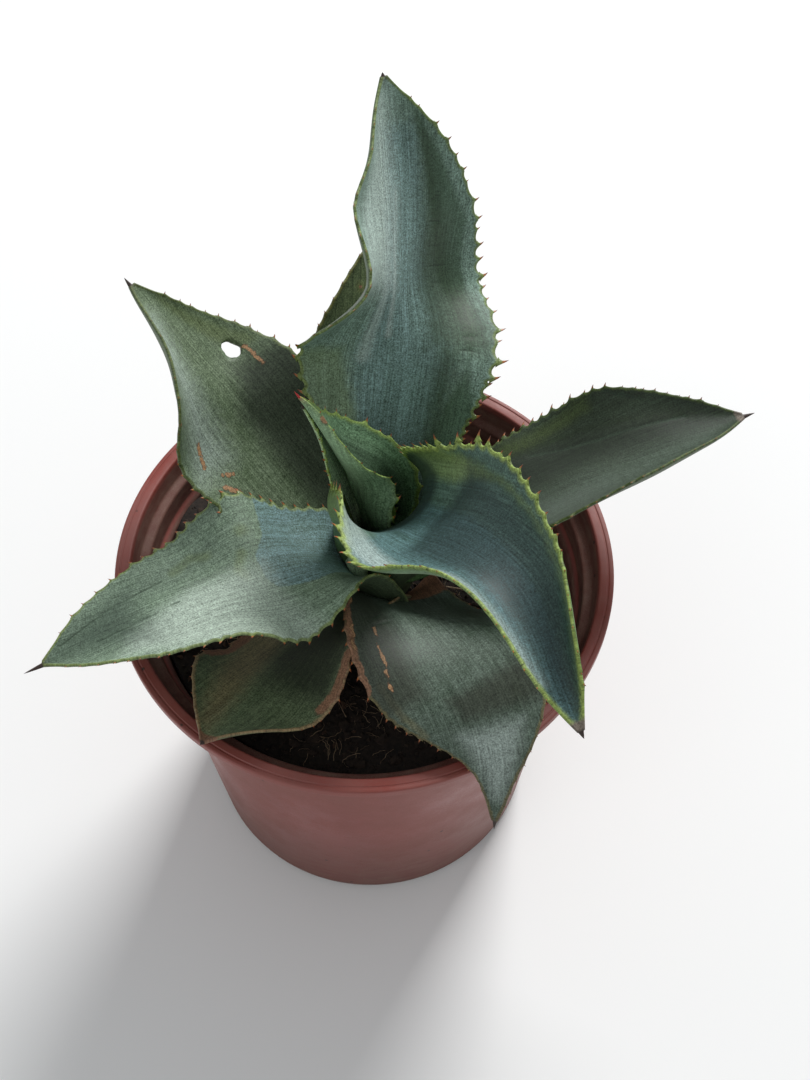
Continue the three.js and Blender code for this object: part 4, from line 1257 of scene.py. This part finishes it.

# %% [markdown]
# ## What a leaf looks like
# Under the wax a leaf is deep green. The bloom turns it grey or blue, and the bloom mask mixes the two. Then
# come the painted marks, among them painted shade and painted light, the margin, which is lime or brown, and
# the horny spine. The underside has a colour of its own. Some leaves' colours are set lighter or darker as
# painted light and shade. One function makes every leaf's material, from a short list of colours and amounts.

# %% Colours and amounts of each leaf
BROWN_HUSK = ((0.13, 0.055, 0.03), (0.34, 0.19, 0.11))
GREY_HUSK = ((0.07, 0.055, 0.045), (0.26, 0.22, 0.17))
LEAF_LOOKS = {
    "leaf_spear": dict(
        deep=(0.1, 0.19, 0.06), shade=(0.04, 0.07, 0.03), bloom=(0.22, 0.33, 0.2), lime=(0.26, 0.36, 0.08),
        below=(0.26, 0.39, 0.22), amount=0.55, patch=0.3, rim=1.5),
    # Painted light: the bud's colours are set lighter to make up for the shade it stands in.
    "leaf_bud": dict(
        deep=(0.09, 0.19, 0.075), shade=(0.03, 0.06, 0.03), bloom=(0.27, 0.43, 0.27),
        blue=(0.24, 0.4, 0.34), lime=(0.26, 0.36, 0.07), below=(0.26, 0.39, 0.22), amount=0.45, patch=0.4,
        rim=1.5, spine=(0.42, 0.03, 0.03)),
    # Painted light: these colours are set far lighter, so the face in the bud's shade comes out bright.
    "leaf_bud_outer": dict(
        deep=(0.46, 0.68, 0.32), shade=(0.06, 0.1, 0.05), bloom=(0.74, 0.88, 0.64), lime=(0.26, 0.36, 0.08),
        below=(0.3, 0.42, 0.25), amount=0.6, patch=0.25, rim=1.2),
    # Painted shade: these colours are set darker, so this leaf comes out less lit.
    "leaf_front_right": dict(
        deep=(0.03, 0.075, 0.045), shade=(0.012, 0.027, 0.027), bloom=(0.11, 0.185, 0.15),
        blue=(0.1, 0.185, 0.2), lime=(0.26, 0.34, 0.07), below=(0.09, 0.17, 0.045), amount=0.6, patch=0.35,
        rim=1.6, husk=GREY_HUSK),
    "leaf_back": dict(
        deep=(0.06, 0.11, 0.065), shade=(0.025, 0.05, 0.02), bloom=(0.25, 0.36, 0.3), blue=(0.2, 0.31, 0.3),
        lime=(0.15, 0.2, 0.05), amount=0.62, patch=0.4, rim=1.0),
    # Painted shade: these colours are set darker, so this leaf comes out less lit.
    "leaf_right": dict(
        deep=(0.017, 0.03, 0.009), shade=(0.01, 0.017, 0.008), bloom=(0.034, 0.052, 0.033),
        lime=(0.065, 0.095, 0.02), pale=(0.115, 0.15, 0.12), amount=0.5, patch=0.7, rim=1.0,
        husk=GREY_HUSK),
    "leaf_left": dict(
        deep=(0.09, 0.155, 0.08), shade=(0.03, 0.05, 0.035), bloom=(0.255, 0.34, 0.25),
        blue=(0.215, 0.335, 0.36), lime=(0.17, 0.22, 0.06), pale=(0.56, 0.65, 0.57), amount=0.62, patch=0.5,
        rim=0.9),
    "leaf_back_left": dict(
        deep=(0.06, 0.1, 0.04), shade=(0.014, 0.02, 0.012), bloom=(0.165, 0.215, 0.135),
        lime=(0.1, 0.13, 0.035), amount=0.5, patch=0.7, rim=1.0),
    "leaf_front": dict(
        deep=(0.03, 0.055, 0.03), shade=(0.03, 0.035, 0.022), bloom=(0.112, 0.148, 0.118),
        lime=(0.12, 0.1, 0.04), amount=0.52, patch=0.9, rim=0.9),
    "leaf_front_left": dict(
        deep=(0.06, 0.095, 0.04), shade=(0.008, 0.012, 0.006), bloom=(0.185, 0.235, 0.13),
        lime=(0.3, 0.2, 0.1), amount=0.45, patch=0.7, rim=1.4),
    "leaf_back_low": dict(
        deep=(0.055, 0.082, 0.03), shade=(0.012, 0.018, 0.006), bloom=(0.145, 0.19, 0.09),
        lime=(0.12, 0.12, 0.03), amount=0.35, patch=0.6, rim=1.0),
}
# Colour of the pale marks: painted light over paler bloom.
PALE = (0.44, 0.52, 0.48)
UNDERSIDE = (0.10, 0.14, 0.07)
CORK = ((0.27, 0.13, 0.06), (0.44, 0.27, 0.14))
CORK_EDGE = (0.09, 0.035, 0.015)
CREASE = (0.025, 0.045, 0.025)
HORN = (0.045, 0.028, 0.022)
HORN_MIDDLE = (0.40, 0.12, 0.03)
HORN_TIP = (0.13, 0.025, 0.012)

# How strongly a mark covers what lies under it. A mark that isn't named here covers it fully.
SHARES = dict(fresh=0.45, pale=0.55, dark=0.8, rim=0.85, underside=0.75, crease=0.7, halo=0.8)
# The ragged edge of each mark: scale, fray and softness.
FRAYS = dict(
    blue=(420.0, 0.7, 0.2), fresh=(260.0, 0.5, 0.4), bare=(260.0, 0.5, 0.35), pale=(300.0, 0.5, 0.5),
    dark=(300.0, 0.5, 0.5), crease=(900.0, 0.35, 0.3), scar=(600.0, 1.3, 0.08), dry=(600.0, 0.6, 0.15))
HALO_FRAY = (600.0, 1.3, 0.12)
HALO_SPREAD = 0.12
BARE_SHARE = 0.8
BELOW_SHADE = 0.7
RIM_WIDTH = 1.6 * MM
RIM_CORE = 0.2 * MM
GRAIN_DEPTH = 3.0
FIBRE_DEPTH = 1.2
CLOUD_DEPTH = 0.9
DARKEST_TONE = 0.25


# %% Material of a leaf
def make_leaf_material(name, look):
    material, tree, shader = new_material(name)
    coords = attribute(tree, "blade", "Vector")
    flat = scaled(tree, coords, (1, 1, 0))
    field = {label: attribute(tree, label) for label in (*FIELDS, "underside", "horn")}

    def frayed(painted, scale, fray, softness):
        return mask_of(tree, ragged_edge, {
            "Field": painted, "Coords": flat, "Scale": scale, "Fray": fray, "Softness": softness})

    mark = {label: frayed(field[label], *fray) for label, fray in FRAYS.items()}
    mark["halo"] = frayed(plus(tree, field["scar"], HALO_SPREAD), *HALO_FRAY)
    mark["underside"] = field["underside"]
    fringe = centred(tree, noise(tree, flat, 500.0, 3.0), RIM_WIDTH)
    ragged_rim = plus(tree, split(tree, coords)[2], fringe)
    mark["rim"] = ramp(tree, ragged_rim, look["rim"] * RIM_WIDTH, RIM_CORE, interpolation_type="SMOOTHSTEP")

    # Bloom on green first, and then the marks, one over the other. Dark is painted shade in the look's shade
    # colour, and pale is painted light over paler bloom.
    wax = mask_of(tree, waxy_bloom, {"Coords": coords, "Amount": look["amount"], "Patch": look["patch"]})
    wax = times(tree, wax, minus(tree, 1.0, times(tree, mark["bare"], BARE_SHARE)))
    powder = blend(tree, mark["blue"], look["bloom"], look.get("blue", look["bloom"]))
    below = look.get("below", UNDERSIDE)
    below = blend(tree, wax, tuple(BELOW_SHADE * v for v in below), below)
    husk = blend(tree, noise(tree, flat, 900.0, 4.0), *look.get("husk", BROWN_HUSK))
    cork = blend(tree, noise(tree, flat, 1500.0, 3.0), *CORK)
    colour = blend(tree, wax, look["deep"], powder)
    for label, over in (("fresh", look["lime"]), ("pale", look.get("pale", PALE)), ("dark", look["shade"]),
                        ("rim", look["lime"]), ("underside", below), ("crease", CREASE), ("dry", husk),
                        ("halo", CORK_EDGE), ("scar", cork)):
        mask = times(tree, mark[label], SHARES[label]) if label in SHARES else mark[label]
        colour = blend(tree, mask, colour, over)

    # Fine specks, fibres and clouds lighten and darken it, and the horn of the spine goes on last.
    speck = centred(tree, noise(tree, flat, BLOOM_GRAIN, 3.0, 0.75), GRAIN_DEPTH)
    fibre = centred(tree, noise(tree, scaled(tree, coords, BLOOM_FIBRE), 1.0, 3.0), FIBRE_DEPTH)
    cloud = centred(tree, noise(tree, flat, BLOOM_MOTTLE, 3.0, 0.6), CLOUD_DEPTH)
    tone = math_node(tree, "MAXIMUM", plus(tree, speck, fibre, cloud, 1.0), DARKEST_TONE)
    colour = blend(tree, 1.0, colour, tone, "MULTIPLY")
    colour = blend(tree, math_node(tree, "POWER", field["horn"], 2.0), colour, look.get("spine", HORN))

    rough = add(tree, "ShaderNodeMapRange", {0: wax, 3: 0.46, 4: 0.66})
    shader.inputs["Specular IOR Level"].default_value = 0.35
    grain = noise(tree, flat, 1500.0, 3.0, 0.65)
    fibres = noise(tree, scaled(tree, coords, (1100, 40, 0)), 1.0, 3.0)
    relief = plus(tree, times(tree, grain, 0.35), times(tree, fibres, 0.4), noise(tree, flat, 160.0, 4.0))
    dress(tree, shader, colour, relief, 0.3, 0.5 * MM, rough.outputs[0])
    return material


# %% Material of teeth: lime or orange at the foot, dark horn at the point
def make_horn_material(name, foot):
    material, tree, shader = new_material(name)
    reach = attribute(tree, "reach")
    middle = blend(tree, ramp(tree, reach, 0.38, 0.6), foot, HORN_MIDDLE)
    colour = blend(tree, ramp(tree, reach, 0.62, 0.9), middle, HORN_TIP)
    tree.links.new(colour, shader.inputs["Base Color"])
    shader.inputs["Roughness"].default_value = 0.4
    return material


# %% Grow every leaf
TOOTH_WIDTH = 5.4
TOOTH_THICKNESS = 1.25
TOOTH_SUNK = 0.9
TOOTH_LENGTH = 1.25
WIDEST_TEETH = 3.4


def grow_leaf(name, leaf, seed):
    loops, faces, values, coords, teeth, normal, edge_thickness = build_leaf(name, leaf, seed)
    if "hole" in leaf:
        faces = cut_hole(loops, faces, coords, leaf, seed)
    places, outs, alongs, sizes = [], [], [], []
    thickness = TOOTH_THICKNESS * leaf.get("thin", 1.0)
    lean = np.array(leaf.get("lean", (0, 0, 0)))
    for tooth_at, tooth_size, edge, out, tangent in teeth:
        for at, size in zip(tooth_at, tooth_size):
            i = min(round(at / leaf["length"] * (len(out) - 1)), len(out) - 1)
            middle = loops[i, edge] - normal[i, edge] * edge_thickness / 2
            outs.append(unit(out[i] + lean))
            places.append(middle - outs[-1] * TOOTH_SUNK)
            alongs.append(tangent[i])
            width = (0.5 + 0.5 * size) * TOOTH_WIDTH * (0.6 + 0.4 * leaf["tooth"] / WIDEST_TEETH)
            sizes.append((width, thickness, leaf["tooth"] * size * TOOTH_LENGTH + TOOTH_SUNK))
    points = loops.reshape(-1, 3)
    piece = mesh_piece(name + "_skin", np.concatenate([points, places]) * MM, faces)
    if "hole" in leaf:
        face_outwards(piece)
    blank = np.zeros_like(points)
    store(piece, "blade", np.concatenate([coords.reshape(-1, 3), np.zeros_like(places)]), "FLOAT_VECTOR")
    for field, field_values in values.items():
        store(piece, field, np.concatenate([field_values.ravel(), np.zeros(len(places))]))
    for field, vectors in (("size", np.array(sizes) * MM), ("out", outs), ("along", alongs)):
        store(piece, "tooth_" + field, np.concatenate([blank, vectors]), "FLOAT_VECTOR")
    piece.data.materials.append(make_leaf_material(name + "_wax", LEAF_LOOKS[name]))
    run_tree(piece, tooth_tree, Horn=make_horn_material(name + "_horn", LEAF_LOOKS[name]["lime"]))
    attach(piece, "root")
    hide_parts(name)
    print(f"{name}: {len(places)} teeth, {len(piece.data.polygons)} faces")


for number, (leaf_name, leaf_numbers) in enumerate(LEAVES.items()):
    grow_leaf(leaf_name, leaf_numbers, 100 + number)
